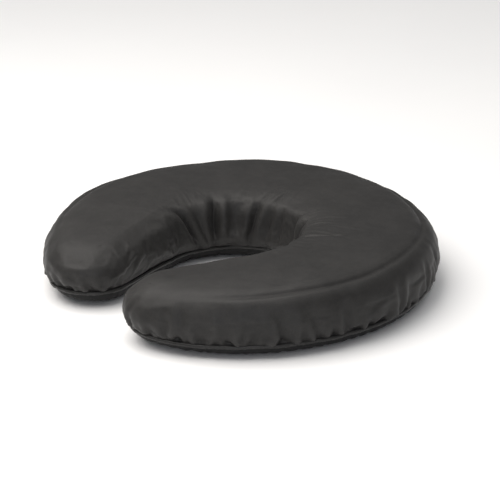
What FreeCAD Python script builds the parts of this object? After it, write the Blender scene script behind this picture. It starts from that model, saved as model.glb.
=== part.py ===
import FreeCAD, Part
import Sketcher
import math
import os
from FreeCAD import Vector, Placement, Rotation

# Face cradle cushion: a padded C-shaped head rest for a massage table.
# Frame: origin under the middle of the cushion, +Z up, +Y towards the crown
# (the closed side of the C), the open mouth between the two arm tips at -Y.
# Millimetres.

doc = FreeCAD.newDocument("face_cradle_cushion")

# ---------------------------------------------------------------- dimensions
sheet = doc.addObject("Spreadsheet::Sheet", "dims")
DIMS = [
    # plan outline: tangent arcs, right half (the left half mirrors it)
    ("crown_radius", 151.0, "outer arc round the crown"),
    ("crown_centre_y", -8.1, "centre of the crown arc"),
    ("side_centre_x", 8.0, "centre of the outer arc along an arm"),
    ("side_centre_y", -9.4, ""),
    ("tip_centre_x", 52.0, "centre of the round arm tip"),
    ("tip_centre_y", -107.7, ""),
    ("hole_radius", 48.0, "face opening"),
    ("hole_centre_y", -14.1, ""),
    # cover
    ("total_height", 55.0, "underside of the strips to the top"),
    ("cover_rim_level", 11.0, "lower edge of the top cover"),
    ("cover_rim_inset", 5.4, "how far the wall has come in there"),
    ("belt_level", 24.0, "where the lower wall meets the upper wall"),
    ("belt_inset", 1.0, ""),
    ("shoulder_level", 37.0, "widest level"),
    ("top_round", 17.0, "round between wall and top"),
    ("cover_skin", 1.2, "coated cover fabric"),
    ("wall_slope", 18.70, "lean of the lower wall, degrees"),
    # base panel
    ("base_level", 2.2, "underside of the base panel"),
    ("base_rim_level", 10.0, "upper edge of the base panel"),
    ("base_rim_inset", 5.7, ""),
    ("base_round", 6.5, "rounded lower edge"),
    ("base_floor", 1.5, "floor thickness"),
    ("base_skin", 1.2, "wall thickness"),
    # foam
    ("foam_clear", 0.3, "gap between foam and cover"),
    ("foam_split", 30.0, "glue line between the two foams"),
    ("foam_foot_level", 13.0, "top of the narrow foot of the lower foam"),
    ("foam_foot_inset", 9.3, ""),
    ("foam_foot_round", 5.0, ""),
    # piping round the seam
    ("bead_radius", 1.6, "outside of the piping sleeve"),
    ("bead_inset", 3.8, "centre line of the piping"),
    ("bead_bore", 1.1, "inside of the sleeve"),
    ("cord_radius", 1.05, "filler cord"),
    ("flange_inset", 8.1, "inner edge of the piping flange"),
    ("thread_radius", 0.4, "seam thread"),
    ("thread_inset", 7.35, ""),
    # hook-and-loop strips
    ("strip_width", 38.0, ""),
    ("strip_length", 128.0, "strip along an arm"),
    ("strip_x", 99.5, "middle of an arm strip"),
    ("strip_y", -8.0, ""),
    ("crown_strip_length", 112.0, ""),
    ("crown_strip_y", 90.0, ""),
    ("strip_corner", 5.0, ""),
    ("strip_margin", 2.6, "sewing line in from the edge"),
    ("strip_groove", 1.4, "width of the pressed sewing line"),
    ("strip_groove_deep", 0.9, ""),
    ("stitch_wide", 0.9, ""),
    ("stitch_high", 0.6, ""),
    # zip across the back of the crown
    ("zip_half_angle", 31.0, "half of the tape's arc, degrees"),
    ("chain_half_angle", 29.8, "half of the chain's arc, degrees"),
    ("zip_level", 17.7, "height of the chain on the wall"),
    ("zip_gap", 0.5, "middle of the chain to the tape edge"),
    ("tape_reach", 5.6, "middle of the chain to the far tape edge"),
    ("tape_thick", 0.6, ""),
    ("coil_reach", 2.1, ""),
    ("coil_top", 2.0, "coil crest above the wall"),
    ("slot_reach", 2.6, "half of the slot in the cover"),
    ("zip_stitch_at", 4.5, "topstitching from the middle"),
    ("zip_stitch_radius", 0.22, ""),
    ("stop_half", 0.55, "half of an end stop's arc, degrees"),
    ("slider_angle", 27.5, "slider from the middle when closed, degrees"),
    ("slider_half_length", 4.5, ""),
    ("slider_half_width", 3.5, ""),
    ("slider_top", 3.0, ""),
    ("pull_axis", 4.1, "tab pivot above the wall"),
    ("tab_thick", 1.2, ""),
    ("tab_length", 21.0, ""),
    ("tab_half_width", 3.3, ""),
]
for row, (alias, value, note) in enumerate(DIMS, 1):
    sheet.set("A%d" % row, alias)
    sheet.set("B%d" % row, str(value))
    sheet.setAlias("B%d" % row, alias)
    if note:
        sheet.set("C%d" % row, note)
doc.recompute()

VALUE = dict((alias, float(value)) for alias, value, note in DIMS)


def number(expression):
    """Value of an expression of the sheet, for the sketch's first guess."""
    text = expression.replace("dims.", "")
    names = dict(VALUE)
    names["tan"] = lambda a: math.tan(math.radians(a))
    names["cos"] = lambda a: math.cos(math.radians(a))
    names["sin"] = lambda a: math.sin(math.radians(a))
    return float(reckon(text, names))


def reckon(text, names):
    """Small arithmetic reader: + - * / ( ) names numbers sin() cos() tan()."""
    tokens = []
    i = 0
    while i < len(text):
        c = text[i]
        if c.isspace():
            i += 1
        elif c in "+-*/()":
            tokens.append(c)
            i += 1
        else:
            j = i
            while j < len(text) and (text[j].isalnum() or text[j] in "_."):
                j += 1
            tokens.append(text[i:j])
            i = j
    place = [0]

    def peek():
        return tokens[place[0]] if place[0] < len(tokens) else None

    def take():
        place[0] += 1
        return tokens[place[0] - 1]

    def atom():
        tok = take()
        if tok == "(":
            v = total()
            take()
            return v
        if tok == "-":
            return -atom()
        if tok in ("tan", "cos", "sin"):
            take()
            v = total()
            take()
            return names[tok](v)
        if tok in names:
            return names[tok]
        return float(tok)

    def product():
        v = atom()
        while peek() in ("*", "/"):
            op = take()
            w = atom()
            v = v * w if op == "*" else v / w
        return v

    def total():
        v = product()
        while peek() in ("+", "-"):
            op = take()
            w = product()
            v = v + w if op == "+" else v - w
        return v

    return total()


# ------------------------------------------------------------------- helpers
def new_body(label):
    body = doc.addObject("PartDesign::Body", label)
    body.Label = label
    return body


def origin_feature(body, role):
    for feature in body.Origin.OriginFeatures:
        if feature.Role == role:
            return feature
    raise RuntimeError(role)


def new_sketch(body, name, role="XY_Plane", level=None):
    sketch = body.newObject("Sketcher::SketchObject", name)
    sketch.AttachmentSupport = [(origin_feature(body, role), "")]
    sketch.MapMode = "FlatFace"
    if level is not None:
        sketch.AttachmentOffset = Placement(Vector(0, 0, number(level)), Rotation())
        sketch.setExpression("AttachmentOffset.Base.z", level)
    return sketch


def bind(sketch, kind, places, expression):
    """Dimension whose size follows the sheet."""
    index = sketch.addConstraint(Sketcher.Constraint(kind, *(list(places) + [number(expression)])))
    sketch.setExpression("Constraints[%d]" % index, expression)
    return index


def unit(angle):
    a = math.radians(angle)
    return Vector(math.cos(a), math.sin(a), 0)


def c_outline(body, name, inset, level, role="XY_Plane"):
    """The C-shaped outline moved inwards by inset. All its centres stay; the
    convex arcs lose the inset and the face opening gains it."""
    sketch = new_sketch(body, name, role, level)
    d = number(inset)
    v = VALUE
    big = v["crown_radius"] - d
    hole = v["hole_radius"] + d
    o1 = Vector(0, v["crown_centre_y"], 0)
    o3 = Vector(v["side_centre_x"], v["side_centre_y"], 0)
    o4 = Vector(v["tip_centre_x"], v["tip_centre_y"], 0)
    h = Vector(0, v["hole_centre_y"], 0)
    side = big - (o3 - o1).Length
    tip = side - (o4 - o3).Length
    a1 = math.degrees(math.atan2((o3 - o1).y, (o3 - o1).x))
    a3 = math.degrees(math.atan2((o4 - o3).y, (o4 - o3).x))
    gap = o4 - h
    base = math.degrees(math.atan2(gap.y, gap.x))
    off = math.degrees(math.acos((tip + hole) / gap.Length))
    am = max((base + off, base - off), key=lambda a: math.cos(math.radians(a)))
    m = unit(am)

    def arc(centre, radius, start, end):
        return Part.ArcOfCircle(Part.Circle(centre, Vector(0, 0, 1), radius),
                                math.radians(start), math.radians(end))

    def mirror(p):
        return Vector(-p.x, p.y, p.z)

    p3 = o4 - m * tip
    p4 = h + m * hole
    sketch.addGeometry([
        arc(o1, big, a1, 180 - a1),                                  # 0 crown
        arc(o3, side, a3, a1),                                       # 1 right side
        arc(o4, tip, am + 180, a3 + 360),                            # 2 right tip
        Part.LineSegment(p3, p4),                                    # 3
        arc(h, hole, am, 180 - am),                                  # 4 opening
        Part.LineSegment(mirror(p4), mirror(p3)),                    # 5
        arc(mirror(o4), tip, 180 - (a3 + 360), 180 - (am + 180)),    # 6 left tip
        arc(mirror(o3), side, 180 - a1, 180 - a3),                   # 7 left side
    ], False)
    for a, pa, b, pb in ((0, 1, 1, 2), (1, 1, 2, 2), (2, 1, 3, 1), (3, 2, 4, 1),
                         (4, 2, 5, 1), (5, 2, 6, 2), (6, 1, 7, 2), (7, 1, 0, 2)):
        sketch.addConstraint(Sketcher.Constraint("Tangent", a, pa, b, pb))
    sketch.addConstraint(Sketcher.Constraint("PointOnObject", 0, 3, -2))
    sketch.addConstraint(Sketcher.Constraint("PointOnObject", 4, 3, -2))
    bind(sketch, "DistanceY", (-1, 1, 0, 3), "dims.crown_centre_y")
    bind(sketch, "DistanceY", (-1, 1, 4, 3), "dims.hole_centre_y")
    bind(sketch, "DistanceX", (-1, 1, 1, 3), "dims.side_centre_x")
    bind(sketch, "DistanceY", (-1, 1, 1, 3), "dims.side_centre_y")
    bind(sketch, "DistanceX", (-1, 1, 2, 3), "dims.tip_centre_x")
    bind(sketch, "DistanceY", (-1, 1, 2, 3), "dims.tip_centre_y")
    sketch.addConstraint(Sketcher.Constraint("Symmetric", 1, 3, 7, 3, -2))
    sketch.addConstraint(Sketcher.Constraint("Symmetric", 2, 3, 6, 3, -2))
    bind(sketch, "Radius", (0,), "dims.crown_radius - (" + inset + ")")
    bind(sketch, "Radius", (4,), "dims.hole_radius + (" + inset + ")")
    sketch.solve()
    return sketch


def polygon(body, name, role, corners, level=None, sketch=None):
    """Closed polygon whose corners are pairs of expressions."""
    if sketch is None:
        sketch = new_sketch(body, name, role, level)
    first = sketch.GeometryCount
    points = [Vector(number(a), number(b), 0) for a, b in corners]
    n = len(points)
    for i in range(n):
        sketch.addGeometry(Part.LineSegment(points[i], points[(i + 1) % n]), False)
    for i in range(n):
        sketch.addConstraint(Sketcher.Constraint("Coincident", first + i, 2, first + (i + 1) % n, 1))
    for i, (a, b) in enumerate(corners):
        bind(sketch, "DistanceX", (-1, 1, first + i, 1), a)
        bind(sketch, "DistanceY", (-1, 1, first + i, 1), b)
    sketch.solve()
    return sketch


def circle(body, name, role, centre, radius, level=None, sketch=None):
    if sketch is None:
        sketch = new_sketch(body, name, role, level)
    index = sketch.addGeometry(
        Part.Circle(Vector(number(centre[0]), number(centre[1]), 0), Vector(0, 0, 1), number(radius)), False)
    bind(sketch, "DistanceX", (-1, 1, index, 3), centre[0])
    bind(sketch, "DistanceY", (-1, 1, index, 3), centre[1])
    bind(sketch, "Radius", (index,), radius)
    return sketch


def rounded_box(body, name, half_x, half_y, corner, middle, level, sketch=None):
    """Rectangle with round corners; the four sizes are expressions."""
    if sketch is None:
        sketch = new_sketch(body, name, "XY_Plane", level)
    first = sketch.GeometryCount
    hx, hy, r = number(half_x), number(half_y), number(corner)
    cx, cy = number(middle[0]), number(middle[1])
    z = Vector(0, 0, 1)
    geometry = []
    for i, (sx, sy) in enumerate(((1, 1), (-1, 1), (-1, -1), (1, -1))):
        geometry.append(Part.ArcOfCircle(
            Part.Circle(Vector(cx + sx * (hx - r), cy + sy * (hy - r), 0), z, r),
            math.radians(90 * i), math.radians(90 * i + 90)))
    geometry.append(Part.LineSegment(Vector(cx + hx - r, cy + hy, 0), Vector(cx - hx + r, cy + hy, 0)))
    geometry.append(Part.LineSegment(Vector(cx - hx, cy + hy - r, 0), Vector(cx - hx, cy - hy + r, 0)))
    geometry.append(Part.LineSegment(Vector(cx - hx + r, cy - hy, 0), Vector(cx + hx - r, cy - hy, 0)))
    geometry.append(Part.LineSegment(Vector(cx + hx, cy - hy + r, 0), Vector(cx + hx, cy + hy - r, 0)))
    sketch.addGeometry(geometry, False)
    f = first
    for a, pa, b, pb in ((0, 2, 4, 1), (4, 2, 1, 1), (1, 2, 5, 1), (5, 2, 2, 1),
                         (2, 2, 6, 1), (6, 2, 3, 1), (3, 2, 7, 1), (7, 2, 0, 1)):
        sketch.addConstraint(Sketcher.Constraint("Tangent", f + a, pa, f + b, pb))
    bind(sketch, "DistanceX", (-1, 1, f + 0, 3), middle[0] + " + (" + half_x + ") - (" + corner + ")")
    bind(sketch, "DistanceY", (-1, 1, f + 0, 3), middle[1] + " + (" + half_y + ") - (" + corner + ")")
    bind(sketch, "DistanceX", (-1, 1, f + 2, 3), middle[0] + " - (" + half_x + ") + (" + corner + ")")
    bind(sketch, "DistanceY", (-1, 1, f + 2, 3), middle[1] + " - (" + half_y + ") + (" + corner + ")")
    sketch.addConstraint(Sketcher.Constraint("Horizontal", f + 4))
    sketch.addConstraint(Sketcher.Constraint("Vertical", f + 5))
    sketch.addConstraint(Sketcher.Constraint("Horizontal", f + 6))
    sketch.addConstraint(Sketcher.Constraint("Vertical", f + 7))
    bind(sketch, "Radius", (f + 0,), corner)
    for i in (1, 2, 3):
        sketch.addConstraint(Sketcher.Constraint("Equal", f, f + i))
    sketch.solve()
    return sketch


def loft(body, name, sections):
    sketches = [c_outline(body, "%s_at_%d" % (name, i), inset, level)
                for i, (level, inset) in enumerate(sections)]
    feature = body.newObject("PartDesign::AdditiveLoft", name)
    feature.Profile = sketches[0]
    feature.Sections = sketches[1:]
    feature.Ruled = True
    doc.recompute()
    return feature


def prism(body, name, low, high, inset):
    """The outline with an inset, straight up from low to high."""
    return pad(body, name, c_outline(body, name + "_outline", inset, low), high + " - (" + low + ")")


def edges_at(shape, level, tolerance=0.01):
    names = []
    for i, edge in enumerate(shape.Edges, 1):
        box = edge.BoundBox
        if abs(box.ZMin - level) < tolerance and abs(box.ZMax - level) < tolerance:
            names.append("Edge%d" % i)
    return names


def fillet(body, name, base, edges, radius):
    feature = body.newObject("PartDesign::Fillet", name)
    feature.Base = (base, edges)
    feature.Radius = number(radius)
    feature.setExpression("Radius", radius)
    doc.recompute()
    return feature


def pad(body, name, sketch, length, midplane=False, reverse=False):
    feature = body.newObject("PartDesign::Pad", name)
    feature.Profile = sketch
    feature.Length = number(length)
    feature.setExpression("Length", length)
    if midplane:
        feature.SideType = "Symmetric"
    feature.Reversed = reverse
    doc.recompute()
    return feature


def revolve(body, name, sketch, angle, cut=False):
    """Turns a section drawn in the YZ plane about the crown's own axis."""
    index = sketch.addGeometry(Part.LineSegment(
        Vector(VALUE["crown_centre_y"], -20, 0), Vector(VALUE["crown_centre_y"], 80, 0)), True)
    sketch.addConstraint(Sketcher.Constraint("Vertical", index))
    bind(sketch, "DistanceX", (-1, 1, index, 1), "dims.crown_centre_y")
    sketch.addConstraint(Sketcher.Constraint("DistanceY", -1, 1, index, 1, -20.0))
    sketch.addConstraint(Sketcher.Constraint("DistanceY", -1, 1, index, 2, 80.0))
    kind = "PartDesign::Groove" if cut else "PartDesign::Revolution"
    feature = body.newObject(kind, name)
    feature.Profile = sketch
    feature.ReferenceAxis = (sketch, ["Axis0"])
    feature.Midplane = True
    feature.Angle = number(angle)
    feature.setExpression("Angle", angle)
    doc.recompute()
    return feature


def wall_point(along, out):
    """A point of the crown's lower wall in the YZ plane: along runs up the
    wall from the middle of the zip, out stands off the wall."""
    y = ("dims.crown_centre_y + dims.crown_radius - dims.cover_rim_inset"
         " + (dims.zip_level - dims.cover_rim_level) * tan(dims.wall_slope)"
         " + (%s) * sin(dims.wall_slope) + (%s) * cos(dims.wall_slope)" % (along, out))
    z = ("dims.zip_level + (%s) * cos(dims.wall_slope) - (%s) * sin(dims.wall_slope)" % (along, out))
    return y, z


def wall_box(along_low, along_high, out_low, out_high):
    return [wall_point(along_low, out_low), wall_point(along_high, out_low),
            wall_point(along_high, out_high), wall_point(along_low, out_high)]


PARTS = []

# ---------------------------------------------------------------- top cover
# One coated-fabric shell: wall leaning in to the seam, broad rounded top.
WALL = "dims.cover_skin / cos(dims.wall_slope)"
skin = new_body("cover_outside")
crown_block = prism(skin, "cover_top", "dims.shoulder_level", "dims.total_height", "0.0")
crown_round = fillet(skin, "cover_round", crown_block,
                     edges_at(crown_block.Shape, VALUE["total_height"]), "dims.top_round")
lower = loft(skin, "cover_wall", [
    ("dims.cover_rim_level", "dims.cover_rim_inset"),
    ("dims.belt_level", "dims.belt_inset"),
    ("dims.shoulder_level", "0.0"),
])
before_slot = lower.Shape.Volume
slot = polygon(skin, "zip_slot_section", "YZ_Plane",
               wall_box("-dims.slot_reach", "dims.slot_reach", "-2.5", "1.5"))
zip_slot = revolve(skin, "zip_slot", slot, "2 * dims.zip_half_angle - 3.0", cut=True)
if not 100.0 < before_slot - zip_slot.Shape.Volume < 20000.0:
    raise RuntimeError("the zip slot was not cut")

core = new_body("cover_inside")
room_block = prism(core, "room_top", "dims.shoulder_level", "dims.total_height - dims.cover_skin",
                   "dims.cover_skin")
fillet(core, "room_round", room_block,
       edges_at(room_block.Shape, VALUE["total_height"] - VALUE["cover_skin"]),
       "dims.top_round - dims.cover_skin")
loft(core, "room_wall", [
    ("dims.cover_rim_level - 1.0", "dims.cover_rim_inset + " + WALL + " + 1.0 * tan(dims.wall_slope)"),
    ("dims.belt_level", "dims.belt_inset + " + WALL),
    ("dims.shoulder_level", "dims.cover_skin"),
])
cover = doc.addObject("Part::Cut", "top_cover")
cover.Label = "top_cover"
cover.Base = skin
cover.Tool = core
doc.recompute()
PARTS.append(cover)

# --------------------------------------------------------------- base panel
tray = new_body("base_outside")
dish = prism(tray, "dish", "dims.base_level", "dims.base_rim_level", "dims.base_rim_inset")
fillet(tray, "dish_round", dish, edges_at(dish.Shape, VALUE["base_level"]), "dims.base_round")
room = new_body("base_inside")
hollow = prism(room, "dish_room", "dims.base_level + dims.base_floor", "dims.base_rim_level + 1.0",
               "dims.base_rim_inset + dims.base_skin")
fillet(room, "dish_room_round", hollow,
       edges_at(hollow.Shape, VALUE["base_level"] + VALUE["base_floor"]), "dims.base_round - dims.base_skin")
base = doc.addObject("Part::Cut", "base_panel")
base.Label = "base_panel"
base.Base = tray
base.Tool = room
doc.recompute()
PARTS.append(base)

# --------------------------------------------------------------------- foam
FOOT = "dims.base_level + dims.base_floor + 0.2"
support = new_body("support_foam")
foot = prism(support, "support_foot", FOOT, "dims.foam_foot_level", "dims.foam_foot_inset")
fillet(support, "support_foot_round", foot, edges_at(foot.Shape, number(FOOT)), "dims.foam_foot_round")
loft(support, "support_block", [
    ("dims.foam_foot_level", "dims.foam_foot_inset"),
    ("dims.belt_level", "dims.belt_inset + " + WALL + " + dims.foam_clear"),
    ("dims.foam_split", "dims.cover_skin + 2 * dims.foam_clear + 0.3"),
])
PARTS.append(support)

comfort = new_body("comfort_foam")
layer = prism(comfort, "comfort_top", "dims.shoulder_level",
              "dims.total_height - dims.cover_skin - dims.foam_clear", "dims.cover_skin + dims.foam_clear")
fillet(comfort, "comfort_round", layer,
       edges_at(layer.Shape, VALUE["total_height"] - VALUE["cover_skin"] - VALUE["foam_clear"]),
       "dims.top_round - dims.cover_skin - dims.foam_clear")
loft(comfort, "comfort_block", [
    ("dims.foam_split", "dims.cover_skin + 2 * dims.foam_clear + 0.3"),
    ("dims.shoulder_level", "dims.cover_skin + dims.foam_clear"),
])
PARTS.append(comfort)

# ------------------------------------------------------------ piping, thread
SEAM = "(dims.cover_rim_level + dims.base_rim_level) / 2"
CROWN_TOP = "dims.crown_centre_y + dims.crown_radius"


def seam_pipe(label, inset, level, outer_radius, bore=None, flange=False):
    body = new_body(label)
    path = c_outline(body, label + "_path", inset, level)
    section = new_sketch(body, label + "_section", "YZ_Plane")
    centre = (CROWN_TOP + " - (" + inset + ")", level)
    circle(body, "", "", centre, outer_radius, sketch=section)
    doc.recompute()
    feature = body.newObject("PartDesign::AdditivePipe", label + "_sweep")
    feature.Profile = section
    feature.Spine = path
    doc.recompute()
    last = feature
    if flange:
        ring_out = c_outline(body, label + "_flange_outline", inset, "dims.base_rim_level")
        last = pad(body, label + "_flange", ring_out, "dims.cover_rim_level - dims.base_rim_level")
        ring_in = c_outline(body, label + "_flange_inner", "dims.flange_inset", "dims.base_rim_level")
        last = body.newObject("PartDesign::Pocket", label + "_flange_window")
        last.Profile = ring_in
        last.Reversed = True
        last.SideType = "Symmetric"
        last.Length = 4.0
        doc.recompute()
    if bore:
        core = new_sketch(body, label + "_bore_section", "YZ_Plane")
        circle(body, "", "", centre, bore, sketch=core)
        core_path = c_outline(body, label + "_bore_path", inset, level)
        last = body.newObject("PartDesign::SubtractivePipe", label + "_bore")
        last.Profile = core
        last.Spine = core_path
        doc.recompute()
    PARTS.append(body)
    return body


seam_pipe("piping_sleeve", "dims.bead_inset", SEAM, "dims.bead_radius", bore="dims.bead_bore", flange=True)
seam_pipe("piping_cord", "dims.bead_inset", SEAM, "dims.cord_radius")
seam_pipe("seam_thread", "dims.thread_inset", "dims.cover_rim_level + dims.thread_radius", "dims.thread_radius")

# ------------------------------------------------------ hook-and-loop strips
# Three loop-pile strips carry the cushion; each has a pressed sewing line.
STRIPS = {
    "loop_strip_left": (("0.0 - dims.strip_x", "dims.strip_y"), "dims.strip_width / 2", "dims.strip_length / 2"),
    "loop_strip_right": (("dims.strip_x", "dims.strip_y"), "dims.strip_width / 2", "dims.strip_length / 2"),
    "loop_strip_crown": (("0.0", "dims.crown_strip_y"), "dims.crown_strip_length / 2", "dims.strip_width / 2"),
}
stitch_bodies = []
for label, (middle, half_x, half_y) in STRIPS.items():
    body = new_body(label)
    plate = rounded_box(body, label + "_outline", half_x, half_y, "dims.strip_corner", middle, "0.0")
    block = pad(body, label + "_pile", plate, "dims.base_level")
    full = block.Shape.Volume
    line = rounded_box(body, label + "_sewing_line", half_x + " - dims.strip_margin",
                       half_y + " - dims.strip_margin", "dims.strip_corner - dims.strip_margin / 2", middle, "0.0")
    rounded_box(body, "", half_x + " - dims.strip_margin - dims.strip_groove",
                half_y + " - dims.strip_margin - dims.strip_groove",
                "dims.strip_corner - dims.strip_margin", middle, "0.0", sketch=line)
    groove = body.newObject("PartDesign::Pocket", label + "_groove")
    groove.Profile = line
    groove.Length = VALUE["strip_groove_deep"]
    groove.setExpression("Length", "dims.strip_groove_deep")
    groove.Reversed = True
    doc.recompute()
    if not 100.0 < full - body.Shape.Volume < 2000.0:
        raise RuntimeError(label + ": the sewing line was not cut")
    PARTS.append(body)
    # the thread lies in that line, clear of the pile's face
    thread = new_body(label + "_stitches")
    inset = "(dims.strip_margin + (dims.strip_groove - dims.stitch_wide) / 2)"
    ring = rounded_box(thread, label + "_stitch_outer", half_x + " - " + inset, half_y + " - " + inset,
                       "dims.strip_corner - dims.strip_margin / 2 - 0.25", middle,
                       "dims.strip_groove_deep - dims.stitch_high")
    rounded_box(thread, "", half_x + " - " + inset + " - dims.stitch_wide",
                half_y + " - " + inset + " - dims.stitch_wide",
                "dims.strip_corner - dims.strip_margin + 0.25", middle, "0.0", sketch=ring)
    pad(thread, label + "_stitch_ring", ring, "dims.stitch_high")
    stitch_bodies.append(thread)
strip_stitching = doc.addObject("Part::Compound", "strip_stitching")
strip_stitching.Label = "strip_stitching"
strip_stitching.Links = stitch_bodies
PARTS.append(strip_stitching)

# ---------------------------------------------------------------------- zip
FULL = "2 * dims.zip_half_angle"
CHAIN = "2 * dims.chain_half_angle"
for label, corners, angle in (
    ("zip_tape_upper", wall_box("dims.zip_gap", "dims.tape_reach", "0.0", "dims.tape_thick"), FULL),
    ("zip_tape_lower", wall_box("-dims.tape_reach", "-dims.zip_gap", "0.0", "dims.tape_thick"), FULL),
    ("zip_coil_upper", wall_box("dims.zip_gap", "dims.coil_reach", "dims.tape_thick", "dims.coil_top"), CHAIN),
    ("zip_coil_lower", wall_box("-dims.coil_reach", "-dims.zip_gap", "dims.tape_thick", "dims.coil_top"), CHAIN),
):
    body = new_body(label)
    revolve(body, label + "_band", polygon(body, label + "_section", "YZ_Plane", corners), angle)
    PARTS.append(body)

zip_threads = []
for label, along in (("zip_thread_upper", "dims.zip_stitch_at"), ("zip_thread_lower", "-dims.zip_stitch_at")):
    body = new_body(label)
    section = circle(body, label + "_section", "YZ_Plane",
                     wall_point(along, "dims.tape_thick + dims.zip_stitch_radius"), "dims.zip_stitch_radius")
    revolve(body, label + "_line", section, FULL + " - 1.0")
    zip_threads.append(body)
zip_stitching = doc.addObject("Part::Compound", "zip_stitching")
zip_stitching.Label = "zip_stitching"
zip_stitching.Links = zip_threads
PARTS.append(zip_stitching)


def about_crown(angle):
    """Turn about the crown's vertical axis."""
    centre = Vector(0, VALUE["crown_centre_y"], 0)
    return Placement(Vector(0, 0, 0), Rotation(Vector(0, 0, 1), angle), centre)


for label, side in (("zip_stop_left", 1), ("zip_stop_right", -1)):
    body = new_body(label)
    corners = wall_box("-dims.coil_reach - 0.5", "dims.coil_reach + 0.5", "dims.tape_thick", "dims.coil_top + 0.4")
    block = revolve(body, label + "_block", polygon(body, label + "_section", "YZ_Plane", corners),
                    "2 * dims.stop_half")
    body.Placement = about_crown(side * (VALUE["chain_half_angle"] + VALUE["stop_half"] + 0.05))
    PARTS.append(body)

# Slider and tab are drawn in their own frame: x along the chain, y off the
# wall, z up the wall; the placement then leans them onto the wall.
slope = VALUE["wall_slope"]
zip_radius = (VALUE["crown_radius"] - VALUE["cover_rim_inset"]
              + (VALUE["zip_level"] - VALUE["cover_rim_level"]) * math.tan(math.radians(slope)))
on_wall = Placement(Vector(0, VALUE["crown_centre_y"] + zip_radius, VALUE["zip_level"]),
                    Rotation(Vector(1, 0, 0), -slope))
seat = about_crown(VALUE["slider_angle"]).multiply(on_wall)

slider = new_body("zip_slider")
w = "dims.slider_half_width"
channel = "(dims.coil_reach + 0.2)"
roof = "(dims.coil_top + 0.15)"
profile = polygon(slider, "slider_section", "YZ_Plane", [
    ("0.85", "-" + w), (roof + " * 0 + 0.85", "-" + channel), (roof, "-" + channel), (roof, "-0.3"),
    ("-0.15", "-0.3"), ("-0.15", "-" + channel), ("-1.1", "-" + channel), ("-1.1", channel),
    ("-0.15", channel), ("-0.15", "0.3"), (roof, "0.3"), (roof, channel),
    ("0.85", channel), ("0.85", w), ("dims.slider_top", w), ("dims.slider_top", "-" + w)])
frame_pad = pad(slider, "slider_plates", profile, "2 * dims.slider_half_length", midplane=True)
bail = polygon(slider, "bail_section", "XY_Plane", [
    ("-3.0", "dims.slider_top"), ("-1.9", "dims.slider_top"), ("-1.9", "dims.slider_top + 2.2"),
    ("1.9", "dims.slider_top + 2.2"), ("1.9", "dims.slider_top"), ("3.0", "dims.slider_top"),
    ("3.0", "dims.slider_top + 2.5"), ("2.4", "dims.slider_top + 3.1"),
    ("-2.4", "dims.slider_top + 3.1"), ("-3.0", "dims.slider_top + 2.5")])
bail_pad = pad(slider, "bail", bail, "1.7", midplane=True)
slider.Placement = seat
PARTS.append(slider)

tab = new_body("zip_pull_tab")
plan = new_sketch(tab, "tab_plan", "XZ_Plane")
plan.AttachmentOffset = Placement(Vector(0, 0, -VALUE["pull_axis"]), Rotation())
plan.setExpression("AttachmentOffset.Base.z", "-dims.pull_axis")
tw = "dims.tab_half_width"
polygon(tab, "", "", [
    ("-0.7", "-2.4"), ("6.0", "-2.4"), ("9.0", "-" + tw), ("dims.tab_length - 2.4", "-" + tw),
    ("dims.tab_length - 0.7", "-" + tw + " + 0.7"), ("dims.tab_length", "-" + tw + " + 2.0"),
    ("dims.tab_length", tw + " - 2.0"), ("dims.tab_length - 0.7", tw + " - 0.7"),
    ("dims.tab_length - 2.4", tw), ("9.0", tw), ("6.0", "2.4"), ("-0.7", "2.4")], sketch=plan)
polygon(tab, "", "", [("0.7", "-1.3"), ("4.5", "-1.3"), ("4.5", "1.3"), ("0.7", "1.3")], sketch=plan)
polygon(tab, "", "", [("12.0", "-1.3"), ("dims.tab_length - 3.0", "-1.3"),
                      ("dims.tab_length - 3.0", "1.3"), ("12.0", "1.3")], sketch=plan)
pad(tab, "tab_plate", plan, "dims.tab_thick", midplane=True)
tab.Placement = seat
PARTS.append(tab)

# -------------------------------------------------------------------- write
doc.recompute()
for item in doc.Objects:
    if "Invalid" in item.State or "Error" in item.State:
        raise RuntimeError("%s failed: %s" % (item.Name, item.State))
loose = [item.Name for item in doc.Objects
         if item.TypeId == "Sketcher::SketchObject" and not item.FullyConstrained]
print("sketches not fully constrained:", loose)
for piece in PARTS:
    if piece.Shape.isNull() or not piece.Shape.isValid():
        raise RuntimeError("%s has no valid shape" % piece.Label)
os.makedirs("parts", exist_ok=True)
for piece in PARTS:
    shape = piece.Shape
    print("%-20s solids %d volume %10.1f" % (piece.Label, len(shape.Solids), shape.Volume))
    shape.exportStep("parts/%s.step" % piece.Label)
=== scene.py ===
import math
import bpy
import bmesh
import numpy as np
from mathutils import Vector, Matrix


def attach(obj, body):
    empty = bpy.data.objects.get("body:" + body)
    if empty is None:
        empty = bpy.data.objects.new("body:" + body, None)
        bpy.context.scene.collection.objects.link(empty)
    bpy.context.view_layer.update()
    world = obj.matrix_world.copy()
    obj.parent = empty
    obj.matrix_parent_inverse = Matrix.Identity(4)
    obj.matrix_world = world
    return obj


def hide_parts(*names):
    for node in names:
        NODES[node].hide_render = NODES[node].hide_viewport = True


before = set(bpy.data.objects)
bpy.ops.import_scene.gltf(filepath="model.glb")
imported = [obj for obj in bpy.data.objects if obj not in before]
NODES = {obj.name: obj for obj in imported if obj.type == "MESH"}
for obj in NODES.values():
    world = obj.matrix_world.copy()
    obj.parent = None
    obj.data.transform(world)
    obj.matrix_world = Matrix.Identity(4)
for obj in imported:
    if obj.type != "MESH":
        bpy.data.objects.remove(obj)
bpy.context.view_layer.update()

MM = 0.001
rng = np.random.RandomState(7)

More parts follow.
